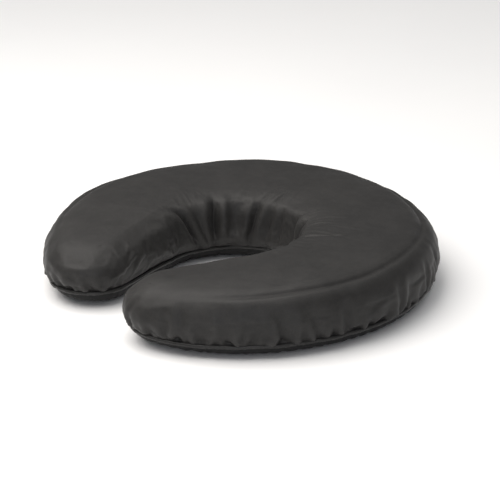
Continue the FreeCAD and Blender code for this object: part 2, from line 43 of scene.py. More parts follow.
# ------------------------------------------------------------------ plan
# The C outline of the part, in millimetres: tangent arcs and one line.
R1, RH = 151.0, 48.0
O1 = np.array([0.0, -8.1])
O3 = np.array([8.0, -9.4])
O4 = np.array([52.0, -107.7])
HC = np.array([0.0, -14.1])
R3 = R1 - np.hypot(*(O3 - O1))
RT = R3 - np.hypot(*(O4 - O3))
A1 = math.degrees(math.atan2(*(O3 - O1)[::-1]))
A3 = math.degrees(math.atan2(*(O4 - O3)[::-1]))
_g = O4 - HC
_base = math.degrees(math.atan2(_g[1], _g[0]))
_off = math.degrees(math.acos((RT + RH) / np.hypot(*_g)))
AM = max((_base + _off, _base - _off), key=lambda a: math.cos(math.radians(a)))


def U(a):
    a = np.radians(a)
    return np.stack([np.cos(a), np.sin(a)], -1)


def dense_half():
    """Right half from the crown's top, clockwise, to the top of the opening."""
    P, N = [], []
    for c, r, a, b, sign in ((O1, R1, 90.0, A1, 1), (O3, R3, A1, A3, 1), (O4, RT, A3 + 360, AM + 180, 1)):
        n = max(8, int(abs(np.radians(b - a)) * r / 0.1))
        t = np.linspace(a, b, n)
        P.append(c + U(t) * r)
        N.append(U(t) * sign)
    m = U(AM)
    p3, p4 = O4 - m * RT, HC + m * RH
    t = np.linspace(0, 1, 700)[1:-1, None]
    P.append(p3 + (p4 - p3) * t)
    N.append(np.repeat(-m[None], len(t), 0))
    t = np.linspace(AM, 90.0, 900)
    P.append(HC + U(t) * RH)
    N.append(-U(t))
    P, N = np.concatenate(P), np.concatenate(N)
    keep = np.concatenate([[True], np.hypot(*np.diff(P, axis=0).T) > 1e-6])
    return P[keep], N[keep]


HP, HN = dense_half()
OUT_P = np.concatenate([HP, (HP * [-1, 1])[::-1][1:]])
OUT_N = np.concatenate([HN, (HN * [-1, 1])[::-1][1:]])
OUT_S = np.concatenate([[0], np.cumsum(np.hypot(*np.diff(OUT_P, axis=0).T))])
LOOP = OUT_S[-1]
HALF = LOOP / 2


def at(s):
    """Point and outward normal at a length along the outline."""
    s = np.mod(s, LOOP)
    p = np.stack([np.interp(s, OUT_S, OUT_P[:, k]) for k in (0, 1)], -1)
    n = np.stack([np.interp(s, OUT_S, OUT_N[:, k]) for k in (0, 1)], -1)
    return p, n / np.linalg.norm(n, axis=-1, keepdims=True)


L_CROWN = R1 * math.radians(90 - A1)
L_SIDE = R3 * math.radians(A1 - A3)
L_TIP = RT * math.radians(A3 + 360 - AM - 180)
L_LINE = float(np.hypot(*((O4 - U(AM) * RT) - (HC + U(AM) * RH))))
TIP_B = L_CROWN + L_SIDE + RT * math.radians(A3 + 360 - 269.5)
TIP_C = L_CROWN + L_SIDE + RT * math.radians(A3 + 360 - 189.5)
S_HOLE = L_CROWN + L_SIDE + L_TIP + L_LINE     # where the opening's arc starts

NU = 460
NV = 38
N_LOOP = 2 * (NU + NV)


def loop_stations():
    """Lengths along the outline for the loop's vertices: outer side, right
    tip, inner side, left tip."""
    outer = np.linspace(-TIP_B, TIP_B, NU + 1)[:-1]
    right = np.linspace(TIP_B, TIP_C, NV + 1)[:-1]
    f = np.linspace(0, 1, NU // 2 + 1)
    inner_half = HALF - TIP_C                    # from the middle of the opening
    arc = (HALF - S_HOLE) / inner_half
    knee = 0.64
    g = np.where(f < knee, f / knee * arc, arc + (f - knee) / (1 - knee) * (1 - arc))
    k = np.ones(9) / 9                           # soften the knee
    gp = np.concatenate([2 * g[0] - g[4:0:-1], g, 2 * g[-1] - g[-2:-6:-1]])
    g = np.convolve(gp, k, "valid")
    g = (g - g[0]) / (g[-1] - g[0])
    half = HALF - g * inner_half
    inner = np.concatenate([half[::-1], (LOOP - half)[1:]])[:-1]
    left = LOOP - np.linspace(TIP_C, TIP_B, NV + 1)[:-1]
    return np.mod(np.concatenate([outer, right, inner, left]), LOOP)


STATION = loop_stations()
LP, LN = at(STATION)


def relax(grid, rounds):
    g = grid.copy()
    for _ in range(rounds):
        g[1:-1, 1:-1] = 0.25 * (g[2:, 1:-1] + g[:-2, 1:-1] + g[1:-1, 2:] + g[1:-1, :-2])
    return g


def inner_grid(inset):
    """(NV+1) x (NU+1) plan positions filling the outline moved in by inset.
    Row 0 is the outer side and the last row the inner side."""
    ring = LP - LN * inset
    g = np.zeros((NV + 1, NU + 1, 2))
    outer = ring[:NU]
    right = ring[NU:NU + NV]
    inner = ring[NU + NV:2 * NU + NV]
    left = ring[2 * NU + NV:]
    g[0, :NU], g[0, NU] = outer, right[0]
    g[1:NV, NU] = right[1:]
    g[NV, NU] = inner[0]
    g[NV, 1:NU] = inner[1:][::-1]
    g[NV, 0] = left[0]
    g[1:NV, 0] = left[1:][::-1]
    u = np.linspace(0, 1, NU + 1)[None, :, None]
    v = np.linspace(0, 1, NV + 1)[:, None, None]
    fill = ((1 - v) * g[:1] + v * g[-1:] + (1 - u) * g[:, :1] + u * g[:, -1:]
            - (1 - u) * (1 - v) * g[0, 0] - u * (1 - v) * g[0, -1]
            - (1 - u) * v * g[-1, 0] - u * v * g[-1, -1])
    fill[0], fill[-1], fill[:, 0], fill[:, -1] = g[0], g[-1], g[:, 0], g[:, -1]
    return relax(fill, 260)


def ring_index():
    """Where the loop's vertices sit in the grid's border."""
    idx = []
    idx += [(0, i) for i in range(NU)]
    idx += [(j, NU) for j in range(NV)]
    idx += [(NV, NU - i) for i in range(NU)]
    idx += [(NV - j, 0) for j in range(NV)]
    return idx


RING = ring_index()


def nearest_outline(xy):
    """Length along the outline and inset of plan points."""
    step = 12
    base = OUT_P[::step]
    s = np.zeros(len(xy))
    d = np.zeros(len(xy))
    for a in range(0, len(xy), 4000):
        q = xy[a:a + 4000]
        D = ((q[:, None, :] - base[None]) ** 2).sum(-1)
        i = D.argmin(1)
        s[a:a + 4000] = OUT_S[::step][i]
        d[a:a + 4000] = np.sqrt(D[np.arange(len(q)), i])
    return s, d


def waves(xyz, size, seed, count=26):
    """Smooth seeded noise of about unit size, from turned sine waves."""
    r = np.random.RandomState(seed)
    out = np.zeros(len(xyz))
    for _ in range(count):
        k = r.normal(size=3)
        k *= (2 * np.pi / size) * r.uniform(0.6, 1.5) / np.linalg.norm(k)
        out += np.sin(xyz @ k + r.uniform(0, 2 * np.pi))
    return out / math.sqrt(count / 2.0)


def gap_s(s, s0):
    """Signed distance along the closed outline."""
    return (s - s0 + HALF) % LOOP - HALF


def smooth(x, a, b):
    t = np.clip((x - a) / (b - a), 0, 1)
    return t * t * (3 - 2 * t)


class Shell:
    """Wall loops from a rim to an inner border, then a filled middle. insets
    and levels are rows x stations."""

    def __init__(self, insets, levels, level_of):
        insets = np.asarray(insets, float)
        levels = np.asarray(levels, float)
        if insets.ndim == 1:
            insets = np.repeat(insets[:, None], N_LOOP, 1)
            levels = np.repeat(levels[:, None], N_LOOP, 1)
        self.rows = len(insets)
        xy = LP[None] - LN[None] * insets[..., None]
        wall_ = np.concatenate([xy, levels[..., None]], -1).reshape(-1, 3)
        border = float(insets[-1, 0])
        grid = inner_grid(border)
        inside = grid[1:-1, 1:-1].reshape(-1, 2)
        s_in, d_in = nearest_outline(inside)
        edge = np.zeros(grid.shape[:2])
        for k, (j, i) in enumerate(RING):
            edge[j, i] = levels[-1, k]
        z_in = level_of(grid, edge)[1:-1, 1:-1].reshape(-1)
        self.co = np.concatenate([wall_, np.column_stack([inside, z_in])])
        self.s = np.concatenate([np.tile(STATION, self.rows), s_in])
        self.d = np.concatenate([insets.reshape(-1), d_in])
        step = np.hypot(np.diff(insets, axis=0), np.diff(levels, axis=0))
        path = np.concatenate([np.zeros((1, N_LOOP)), np.cumsum(step, 0)])
        end_in = np.interp(s_in, np.sort(STATION), path[-1][np.argsort(STATION)])
        self.p = np.concatenate([path.reshape(-1), end_in + np.maximum(d_in - border, 0)])
        ids = np.zeros((NV + 1, NU + 1), int)
        last = (self.rows - 1) * N_LOOP
        for k, (j, i) in enumerate(RING):
            ids[j, i] = last + k
        ids[1:-1, 1:-1] = self.rows * N_LOOP + np.arange((NV - 1) * (NU - 1)).reshape(NV - 1, NU - 1)
        faces = []
        a = np.arange(N_LOOP)
        b = (a + 1) % N_LOOP
        for r in range(self.rows - 1):
            faces.append(np.stack([r * N_LOOP + a, (r + 1) * N_LOOP + a, (r + 1) * N_LOOP + b, r * N_LOOP + b], 1))
        g = ids
        faces.append(np.stack([g[:-1, :-1], g[1:, :-1], g[1:, 1:], g[:-1, 1:]], -1).reshape(-1, 4))
        self.faces = np.concatenate(faces)
        # which side of the shell the quads face is settled by the caller

    def normals(self, co=None):
        co = self.co if co is None else co
        q = co[self.faces]
        n = np.cross(q[:, 2] - q[:, 0], q[:, 3] - q[:, 1])
        out = np.zeros_like(co)
        for k in range(4):
            np.add.at(out, self.faces[:, k], n)
        return out / np.maximum(np.linalg.norm(out, axis=1, keepdims=True), 1e-12)


def make_mesh(name, co, faces, flip=False, shade=True):
    me = bpy.data.meshes.new(name)
    f = np.asarray(faces)
    if flip:
        f = f[:, ::-1]
    me.from_pydata((np.asarray(co) * MM).tolist(), [], f.tolist())
    me.validate()
    me.update()
    if shade:
        me.polygons.foreach_set("use_smooth", np.ones(len(me.polygons), bool))
    ob = bpy.data.objects.new(name, me)
    bpy.context.scene.collection.objects.link(ob)
    return ob


# ------------------------------------------------------------ cover profile
TOTAL, CROWN, ROUND = 55.0, 6.6, 18.0
BORDER = 18.5


def curve_through(points, count):
    """Smooth line through points (Catmull-Rom), evenly stepped."""
    P = np.array(points, float)
    P = np.vstack([2 * P[0] - P[1], P, 2 * P[-1] - P[-2]])
    fine = []
    for k in range(1, len(P) - 2):
        t = np.linspace(0, 1, 24, endpoint=False)[:, None]
        fine.append(0.5 * (2 * P[k] + (P[k + 1] - P[k - 1]) * t
                           + (2 * P[k - 1] - 5 * P[k] + 4 * P[k + 1] - P[k + 2]) * t ** 2
                           + (-P[k - 1] + 3 * P[k] - 3 * P[k + 1] + P[k + 2]) * t ** 3))
    fine = np.concatenate(fine + [P[-2:-1]])
    length = np.concatenate([[0], np.cumsum(np.hypot(*np.diff(fine, axis=0).T))])
    t = np.linspace(0, length[-1], count)
    return np.interp(t, length, fine[:, 0]), np.interp(t, length, fine[:, 1])


def outer_points():
    """Outer wall: leans in to the seam, rounds over a firm shoulder."""
    top = TOTAL - CROWN - ROUND
    pts = [(8.0, 10.55), (6.4, 10.6)]
    for z in np.linspace(10.8, top, 14):
        f = z / top
        pts.append((12.6 * (1 - f) ** 2 - 1.5 * math.sin(math.pi * f), z))
    for th in np.linspace(0, 90, 14)[1:]:
        a = math.radians(th)
        d = ROUND - ROUND * math.cos(a)
        pts.append((d, top + ROUND * math.sin(a) + CROWN * (1 - (1 - d / 48) ** 2)))
    pts.append((BORDER, TOTAL - CROWN + CROWN * (1 - (1 - BORDER / 48) ** 2)))
    return pts


def arm_points():
    """Inner side of an arm and its tip: rounded like a pillow's end."""
    pts = [(9.2, 12.6), (8.0, 12.6)]
    for u in np.linspace(0, 1, 12):
        pts.append((7.3 * (1 - u) ** 2.1, 13.0 + 14.5 * u))
    for th in np.linspace(0, math.degrees(math.acos((36 - BORDER) / 36)), 16)[1:]:
        a = math.radians(th)
        pts.append((36 - 36 * math.cos(a), 27.5 + 26.6 * math.sin(a) ** 0.96))
    return pts


HOLE_POINTS = [(8.8, 11.0), (7.3, 11.05), (6.2, 11.5), (2.7, 13.4), (0.3, 16.6), (-0.6, 20.2), (0.1, 24.6),
               (1.5, 29.5), (2.4, 34.5), (3.2, 39.5), (5.0, 44.3), (8.4, 48.4), (12.8, 51.0), (BORDER, 52.4)]


def side_weights(st):
    """Shares of the three profiles along the outline: outer, arm, opening."""
    st = np.mod(st, LOOP)
    m = np.minimum(st, LOOP - st)                       # from the crown's top
    arm_in = smooth(m, L_CROWN + L_SIDE - 34, TIP_B + 14)
    hole = smooth(m, HALF - 122, HALF - 62)
    return 1 - arm_in, arm_in * (1 - hole), arm_in * hole


ROWS = 54
_w = side_weights(STATION)
_prof = [curve_through(q, ROWS) for q in (outer_points(), arm_points(), HOLE_POINTS)]
insets = sum(np.outer(q[0], w) for q, w in zip(_prof, _w))
levels = sum(np.outer(q[1], w) for q, w in zip(_prof, _w))
insets[-1] = BORDER


def seam_at(st):
    """Inset and level of the seam line along the outline."""
    w = side_weights(st)
    ins = sum(q[0][2 * ROWS // 54] * k for q, k in zip(_prof, w))
    lev = sum(q[1][2 * ROWS // 54] * k for q, k in zip(_prof, w))
    return ins, lev


def membrane(grid, edge, peak=TOTAL - 0.35, power=0.8):
    """Level of the top: swells like a membrane from its border."""
    x, y = grid[..., 0], grid[..., 1]
    du = np.hypot(np.gradient(x, axis=1), np.gradient(y, axis=1))
    dv = np.hypot(np.gradient(x, axis=0), np.gradient(y, axis=0))
    wu, wv = 1 / du ** 2, 1 / dv ** 2
    h = np.zeros(grid.shape[:2])
    e = edge.copy()
    jj = np.linspace(0, 1, edge.shape[0])[:, None]
    e[1:-1, 1:-1] = (edge[:1] * (1 - jj) + edge[-1:] * jj)[1:-1, 1:-1]
    tot = 2 * (wu + wv)[1:-1, 1:-1]
    cu, cv = wu[1:-1, 1:-1], wv[1:-1, 1:-1]
    for _ in range(1600):
        h[1:-1, 1:-1] = (cu * (h[1:-1, 2:] + h[1:-1, :-2]) + cv * (h[2:, 1:-1] + h[:-2, 1:-1]) + 1.0) / tot
        e[1:-1, 1:-1] = (cu * (e[1:-1, 2:] + e[1:-1, :-2]) + cv * (e[2:, 1:-1] + e[:-2, 1:-1])) / tot
    h = (h / h.max()) ** power
    return e + (peak - e) * h


cover = Shell(insets, levels, membrane)


def ease(shell, first, last, rounds):
    """Evens out the level over the top, so wall and dome run into each other."""
    f = shell.faces
    a = np.concatenate([f[:, 0], f[:, 1], f[:, 2], f[:, 3]])
    b = np.concatenate([f[:, 1], f[:, 2], f[:, 3], f[:, 0]])
    count = np.bincount(a, minlength=len(shell.co)) + np.bincount(b, minlength=len(shell.co))
    w = 0.5 * smooth(shell.d, first, last)
    z = shell.co[:, 2]
    for _ in range(rounds):
        mean = (np.bincount(a, z[b], minlength=len(z)) + np.bincount(b, z[a], minlength=len(z))) / count
        z = z + w * (mean - z)
    shell.co[:, 2] = z
    return shell


ease(cover, 7.0, 14.0, 130)


def folds(shell, N):
    """Displacement off the surface, in millimetres, from the way the cover is
    gathered into its seam and round the opening."""
    s, d, p = shell.s, shell.d, shell.p
    x, y, z = shell.co.T
    out = np.zeros(len(s))
    hole_angle = np.degrees(np.arctan2(y - HC[1], x - HC[0]))        # 90 is the crown side
    hole_angle = np.where(hole_angle < -90, hole_angle + 360, hole_angle)
    near_hole = (s > S_HOLE - L_LINE) & (s < LOOP - S_HOLE + L_LINE)
    inner_side = smooth(s, TIP_C - 8, TIP_C + 14) * (1 - smooth(s, LOOP - TIP_C - 14, LOOP - TIP_C + 8))
    outer_side = 1 - inner_side
    low = 4.0                                                       # the seam's place on p
    h = p - low                                                     # up the wall from the seam

    # broad unevenness of stuffed foam
    out += 0.22 * waves(shell.co, 60.0, 11)
    out += 0.16 * waves(shell.co, 24.0, 12)

    # the soft crease along the outer shoulder
    crease_p = 48.5 + 0.9 * np.sin(s / 70.0) + 0.5 * np.sin(s / 23.0 + 1.0)
    to_tip = np.abs(gap_s(s, 0.0))
    strength = (1 - smooth(to_tip, L_CROWN + L_SIDE - 105, L_CROWN + L_SIDE - 15)) * outer_side
    strength *= 0.8 + 0.2 * np.sin(s / 41.0 + 0.6)
    q = p - crease_p
    out += strength * (-1.35 * np.exp(-(q / 2.2) ** 2) + 0.15 * np.exp(-((q - 6.5) / 4.5) ** 2)
                       + 0.7 * np.exp(-((q + 8.5) / 7.0) ** 2))

    # puckers gathered into the seam, all the way round the outside
    r = np.random.RandomState(21)
    pos = -TIP_C
    while pos < TIP_C:
        gather = 0.75 + 0.25 * math.sin(pos / 57.0 + 0.7)
        w = r.uniform(1.7, 3.4)
        a = r.uniform(0.7, 2.5) * (0.5 + 0.7 * gather)
        tall = r.uniform(7, 19) * (0.75 + 0.5 * gather)
        lean = r.uniform(-0.22, 0.22)
        g = gap_s(s, pos) - lean * h
        wide = w * (1 + np.clip(h, 0, 40) / 26.0)
        up = smooth(p, 2.5, 7.0) * outer_side
        out -= a * np.exp(-(g / wide) ** 2) * np.exp(-(np.clip(h - 2.0, 0, None) / tall) ** 2) * up
        b = a * r.uniform(0.4, 0.75)
        g2 = g - r.uniform(3.4, 6.0)
        out += b * np.exp(-(g2 / (wide * 1.4)) ** 2) * np.exp(-((h - 5.0) / (tall * 0.8)) ** 2) * up
        pos += r.uniform(6.0, 15.0)
    # between the puckers the hem swells over the piping
    out += 1.3 * outer_side * np.exp(-((h - 2.6) / 2.4) ** 2) * waves(np.column_stack([s, s * 0, s * 0]), 15.0, 23)

    # pleats down the inner wall, deepest at the crown end of the opening
    mid = HALF
    pleats = [  # along the loop from the middle of the opening, depth, width, lean, top reach
        (7, 1.9, 2.5, 0.0, 37), (18, 1.9, 2.9, -0.05, 35), (31, 3.1, 2.6, -0.22, 40),
        (43, 1.3, 3.6, 0.0, 33), (59, 5.4, 2.9, -0.05, 43), (69, 1.5, 2.4, 0.36, 38),
        (78, 4.4, 3.1, 0.40, 40), (97, 1.2, 4.4, 0.2, 26), (118, 0.8, 4.6, 0.1, 22),
        (-9, 2.1, 2.6, -0.06, 38), (-23, 3.2, 2.7, 0.04, 41), (-38, 1.4, 3.6, 0.08, 33),
        (-49, 2.7, 2.6, 0.06, 39), (-65, 4.2, 3.0, -0.12, 42), (-80, 1.4, 3.8, -0.20, 31),
        (-94, 2.4, 3.0, -0.34, 33), (-116, 0.8, 4.4, 0.1, 22),
    ]
    for along, depth, w, lean, reach in pleats:
        g = gap_s(s, mid + along) - lean * (h - 18)
        wide = w * (0.8 + 0.35 * np.clip(h / 30.0, 0, 1))
        rise = (0.3 * smooth(h, 0.5, 5.0) + 0.7 * smooth(h, 7.0, 17.0)) * (1 - smooth(h, reach - 13, reach + 9))
        valley = np.exp(-np.abs(g / wide) ** 1.6)
        lip = np.exp(-((np.abs(g) - 2.2 * w) / (1.3 * w)) ** 2)
        out += (-depth * valley + 0.30 * depth * lip) * rise * inner_side

    # fine wrinkles that run out over the top from the opening's crown end
    r = np.random.RandomState(5)
    rho = np.hypot(x - HC[0], y - HC[1])
    top_side = smooth(p, 37, 48)
    fine = np.zeros(len(s))
    for k in range(46):
        ang = r.uniform(-28, 208)
        right = math.exp(-((ang - 38) / 34.0) ** 2)
        left = 0.45 * math.exp(-((ang - 128) / 40.0) ** 2)
        a = r.uniform(0.18, 0.55) * (0.25 + right + left)
        w = r.uniform(0.9, 1.9)
        start = RH + r.uniform(4, 12)
        end = start + r.uniform(16, 40) * (0.6 + 0.7 * right)
        bend = r.uniform(-0.25, 0.25)
        g = np.radians(hole_angle - ang) * rho - bend * (rho - RH) - 0.004 * (rho - RH) ** 2 * np.sign(bend)
        along = smooth(rho, start - 6, start + 5) * (1 - smooth(rho, end - 12, end + 6))
        fine += (-a * np.exp(-(g / w) ** 2) + 0.55 * a * np.exp(-((g - 2.1 * w) / (1.2 * w)) ** 2)) * along
    out += fine * top_side * (rho < 105)
    return out


def settle(co, s, d):
    """The stuffing thins towards the arm tips and the outer shoulder, so the
    top sinks there."""
    x, y, z = co.T
    high = smooth(z, 13.0, 50.0)
    tip = smooth(-y, 28.0, 138.0)
    side = np.abs(x) - O4[0]
    drop = 4.2 * tip + 2.0 * tip * (1 - smooth(side, -34.0, 6.0))
    ang = np.arctan2(y - O1[1], x)
    edge = 0.9 + 3.2 * np.exp(-((ang - 1.2) / 0.5) ** 2) - 1.3 * np.exp(-((ang - 2.3) / 0.4) ** 2)
    outer = 1 - smooth(s, TIP_C - 8, TIP_C + 14) * (1 - smooth(s, LOOP - TIP_C - 14, LOOP - TIP_C + 8))
    drop += edge * (1 - smooth(d, 4.0, 42.0)) * outer * (1 - tip)
    out = co.copy()
    out[:, 2] = z - drop * high
    return out


def folded(shell):
    n = shell.normals()
    if n[-1, 2] < 0:
        n = -n
    return settle(shell.co + n * folds(shell, n)[:, None], shell.s, shell.d)


cover_co = folded(cover)


def coarse_ids(step=2):
    """Every second loop and station of a shell: indices kept, and its faces."""
    rows, last = cover.rows, (cover.rows - 1) * N_LOOP
    wall_rows = list(range(rows - 1, -1, -step))[::-1]
    st = np.arange(0, N_LOOP, step)
    keep = [r * N_LOOP + st for r in wall_rows]
    ids = np.zeros((NV + 1, NU + 1), int)
    for k, (j, i) in enumerate(RING):
        ids[j, i] = last + k
    ids[1:-1, 1:-1] = rows * N_LOOP + np.arange((NV - 1) * (NU - 1)).reshape(NV - 1, NU - 1)
    g = ids[::step, ::step]
    quads = []
    for a, b in zip(keep[:-1], keep[1:]):
        quads.append(np.stack([a, np.roll(a, -1), np.roll(b, -1), b], -1))
    quads.append(np.stack([g[:-1, :-1], g[:-1, 1:], g[1:, 1:], g[1:, :-1]], -1).reshape(-1, 4))
    quads = np.concatenate(quads)
    used = np.unique(quads)
    back = np.full(len(cover.co), -1)
    back[used] = np.arange(len(used))
    return used, back[quads], wall_rows[0]


def stuffed(co):
    """Cloth pass: the cover, cut 2.5% large and held at its seam, is blown up
    against its own stretch; what it moves is shared out to the fine mesh."""
    used, quads, _ = coarse_ids()
    me = bpy.data.meshes.new("stuffing_pass")
    me.from_pydata((co[used] * MM).tolist(), [], quads.tolist())
    me.update()
    ob = bpy.data.objects.new("stuffing_pass", me)
    scene = bpy.context.scene
    scene.collection.objects.link(ob)
    held = ob.vertex_groups.new(name="held")
    held.add([int(i) for i in np.where(cover.p[used] < 5.0)[0]], 1.0, "REPLACE")
    m = ob.modifiers.new("cloth", "CLOTH")
    st = m.settings
    st.vertex_group_mass = "held"
    st.use_pressure = True
    st.uniform_pressure_force = 4.0
    st.quality = 5
    st.tension_stiffness = st.compression_stiffness = 25
    st.shear_stiffness = 12
    st.bending_stiffness = 0.5
    st.tension_damping = st.compression_damping = st.shear_damping = 5
    st.air_damping = 3
    st.mass = 0.3
    st.shrink_min = -0.025
    st.effector_weights.gravity = 0.0
    m.collision_settings.use_self_collision = False
    m.collision_settings.use_collision = False
    m.point_cache.frame_start = scene.frame_start = 1
    m.point_cache.frame_end = scene.frame_end = 14
    for frame_no in range(1, 15):
        scene.frame_set(frame_no)
    done = ob.evaluated_get(bpy.context.evaluated_depsgraph_get()).to_mesh()
    moved = np.empty(len(used) * 3)
    done.vertices.foreach_get("co", moved)
    moved = moved.reshape(-1, 3) / MM - co[used]
    bpy.data.objects.remove(ob, do_unlink=True)
    bpy.data.meshes.remove(me)
    scene.frame_set(1)
    known = np.zeros(len(co), bool)
    known[used] = True
    push = np.zeros_like(co)
    push[used] = moved
    f = cover.faces
    a = np.concatenate([f[:, 0], f[:, 1], f[:, 2], f[:, 3]])
    b = np.concatenate([f[:, 1], f[:, 2], f[:, 3], f[:, 0]])
    a, b = np.concatenate([a, b]), np.concatenate([b, a])
    for step in range(6):
        ok = known[b].astype(float)
        n = np.bincount(a, ok, minlength=len(co))
        mean = np.stack([np.bincount(a, push[b, k] * ok, minlength=len(co)) for k in range(3)], -1)
        fill = (~known) & (n > 0)
        push[fill] = mean[fill] / n[fill][:, None]
        known = known | fill
    n = np.bincount(a, minlength=len(co))[:, None]
    for step in range(2):
        push = 0.5 * push + 0.5 * np.stack([np.bincount(a, push[b, k], minlength=len(co)) for k in range(3)], -1) / n
    normal = cover.normals(co)
    if normal[-1, 2] < 0:
        normal = -normal
    off = (push * normal).sum(1)
    side = push - off[:, None] * normal
    size = np.linalg.norm(side, axis=1)
    side *= (np.minimum(size, 1.0) / np.maximum(size, 1e-9))[:, None]
    # the wrinkles are kept, and the general swelling, which the foam holds, isn't
    swell = off.copy()
    for step in range(160):
        swell = 0.5 * swell + 0.5 * np.bincount(a, swell[b], minlength=len(co)) / n[:, 0]
    inner = smooth(cover.s, TIP_C - 8, TIP_C + 14) * (1 - smooth(cover.s, LOOP - TIP_C - 14, LOOP - TIP_C + 8))
    upper = smooth(co[:, 2], 26.0, 44.0)
    share = (1.0 - 0.92 * smooth(cover.d, 7.0, 17.0)) * (1.0 - upper * (0.85 - 0.35 * inner))
    share = share * smooth(cover.p, 4.5, 9.0)
    return co + share[:, None] * (np.clip(1.15 * (off - swell), -1.3, 1.7)[:, None] * normal + 0.5 * side)


cover_co = stuffed(cover_co)


def seat_zip(co, s):
    """Behind the zip the wall is a plain leaning cone, held flat by the tape."""
    ang = np.degrees(np.arctan2(-co[:, 0], co[:, 1] - O1[1]))
    r = np.hypot(co[:, 0], co[:, 1] - O1[1])
    z = co[:, 2]
    want = R1 - 5.4 + (np.clip(z, 11, 24) - 11.0) * math.tan(math.radians(18.70)) - 0.06
    w = (1 - smooth(np.abs(ang), 31.3, 36.0)) * (1 - smooth(z, 23.6, 31.0)) * smooth(z, 10.0, 11.2)
    w = w * (r > 120)
    r2 = r + (want - r) * w
    k = (r2 / np.maximum(r, 1e-9))[:, None]
    co = co.copy()
    co[:, :2] = (co[:, :2] - O1) * k + O1
    return co


cover_co = seat_zip(cover_co, cover.s)
_n = cover.normals(cover_co)
cover_flip = _n[-1, 2] < 0
cover_ob = make_mesh("cover_top", cover_co, cover.faces, flip=cover_flip)
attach(cover_ob, "cushion")
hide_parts("top_cover")

# ---------------------------------------------------------------- materials
def material(name):
    m = bpy.data.materials.new(name)
    m.use_nodes = True
    nt = m.node_tree
    nt.nodes.clear()
    out = nt.nodes.new("ShaderNodeOutputMaterial")
    b = nt.nodes.new("ShaderNodeBsdfPrincipled")
    nt.links.new(b.outputs[0], out.inputs[0])
    return m, nt, b


def node(nt, kind, **props):
    n = nt.nodes.new(kind)
    for k, v in props.items():
        if k in n.inputs:
            n.inputs[k].default_value = v
        else:
            setattr(n, k, v)
    return n


def coords(nt, scale=1.0, stretch=(1, 1, 1)):
    tc = nt.nodes.new("ShaderNodeTexCoord")
    mp = nt.nodes.new("ShaderNodeMapping")
    mp.inputs["Scale"].default_value = tuple(scale * k for k in stretch)
    nt.links.new(tc.outputs["Object"], mp.inputs["Vector"])
    return mp.outputs[0]


def ramp(nt, fac, stops):
    r = nt.nodes.new("ShaderNodeValToRGB")
    e = r.color_ramp.elements
    while len(e) < len(stops):
        e.new(0.5)
    for i, (pos, col) in enumerate(stops):
        e[i].position = pos
        e[i].color = col if len(col) == 4 else (*col, 1)
    nt.links.new(fac, r.inputs[0])
    return r.outputs[0]


def mathn(nt, op, a, b=None, clamp=False):
    n = nt.nodes.new("ShaderNodeMath")
    n.operation = op
    n.use_clamp = clamp
    for i, v in enumerate((a, b)):
        if v is None:
            continue
        if hasattr(v, "default_value") or hasattr(v, "is_linked"):
            nt.links.new(v, n.inputs[i])
        else:
            n.inputs[i].default_value = v
    return n.outputs[0]


def mix(nt, fac, a, b, blend="MIX"):
    n = nt.nodes.new("ShaderNodeMix")
    n.data_type = "RGBA"
    n.blend_type = blend
    for sock, v in ((n.inputs[0], fac), (n.inputs[6], a), (n.inputs[7], b)):
        if hasattr(v, "is_linked"):
            nt.links.new(v, sock)
        elif isinstance(v, (tuple, list)):
            sock.default_value = v if len(v) == 4 else (*v, 1)
        else:
            sock.default_value = v
    return n.outputs[2]


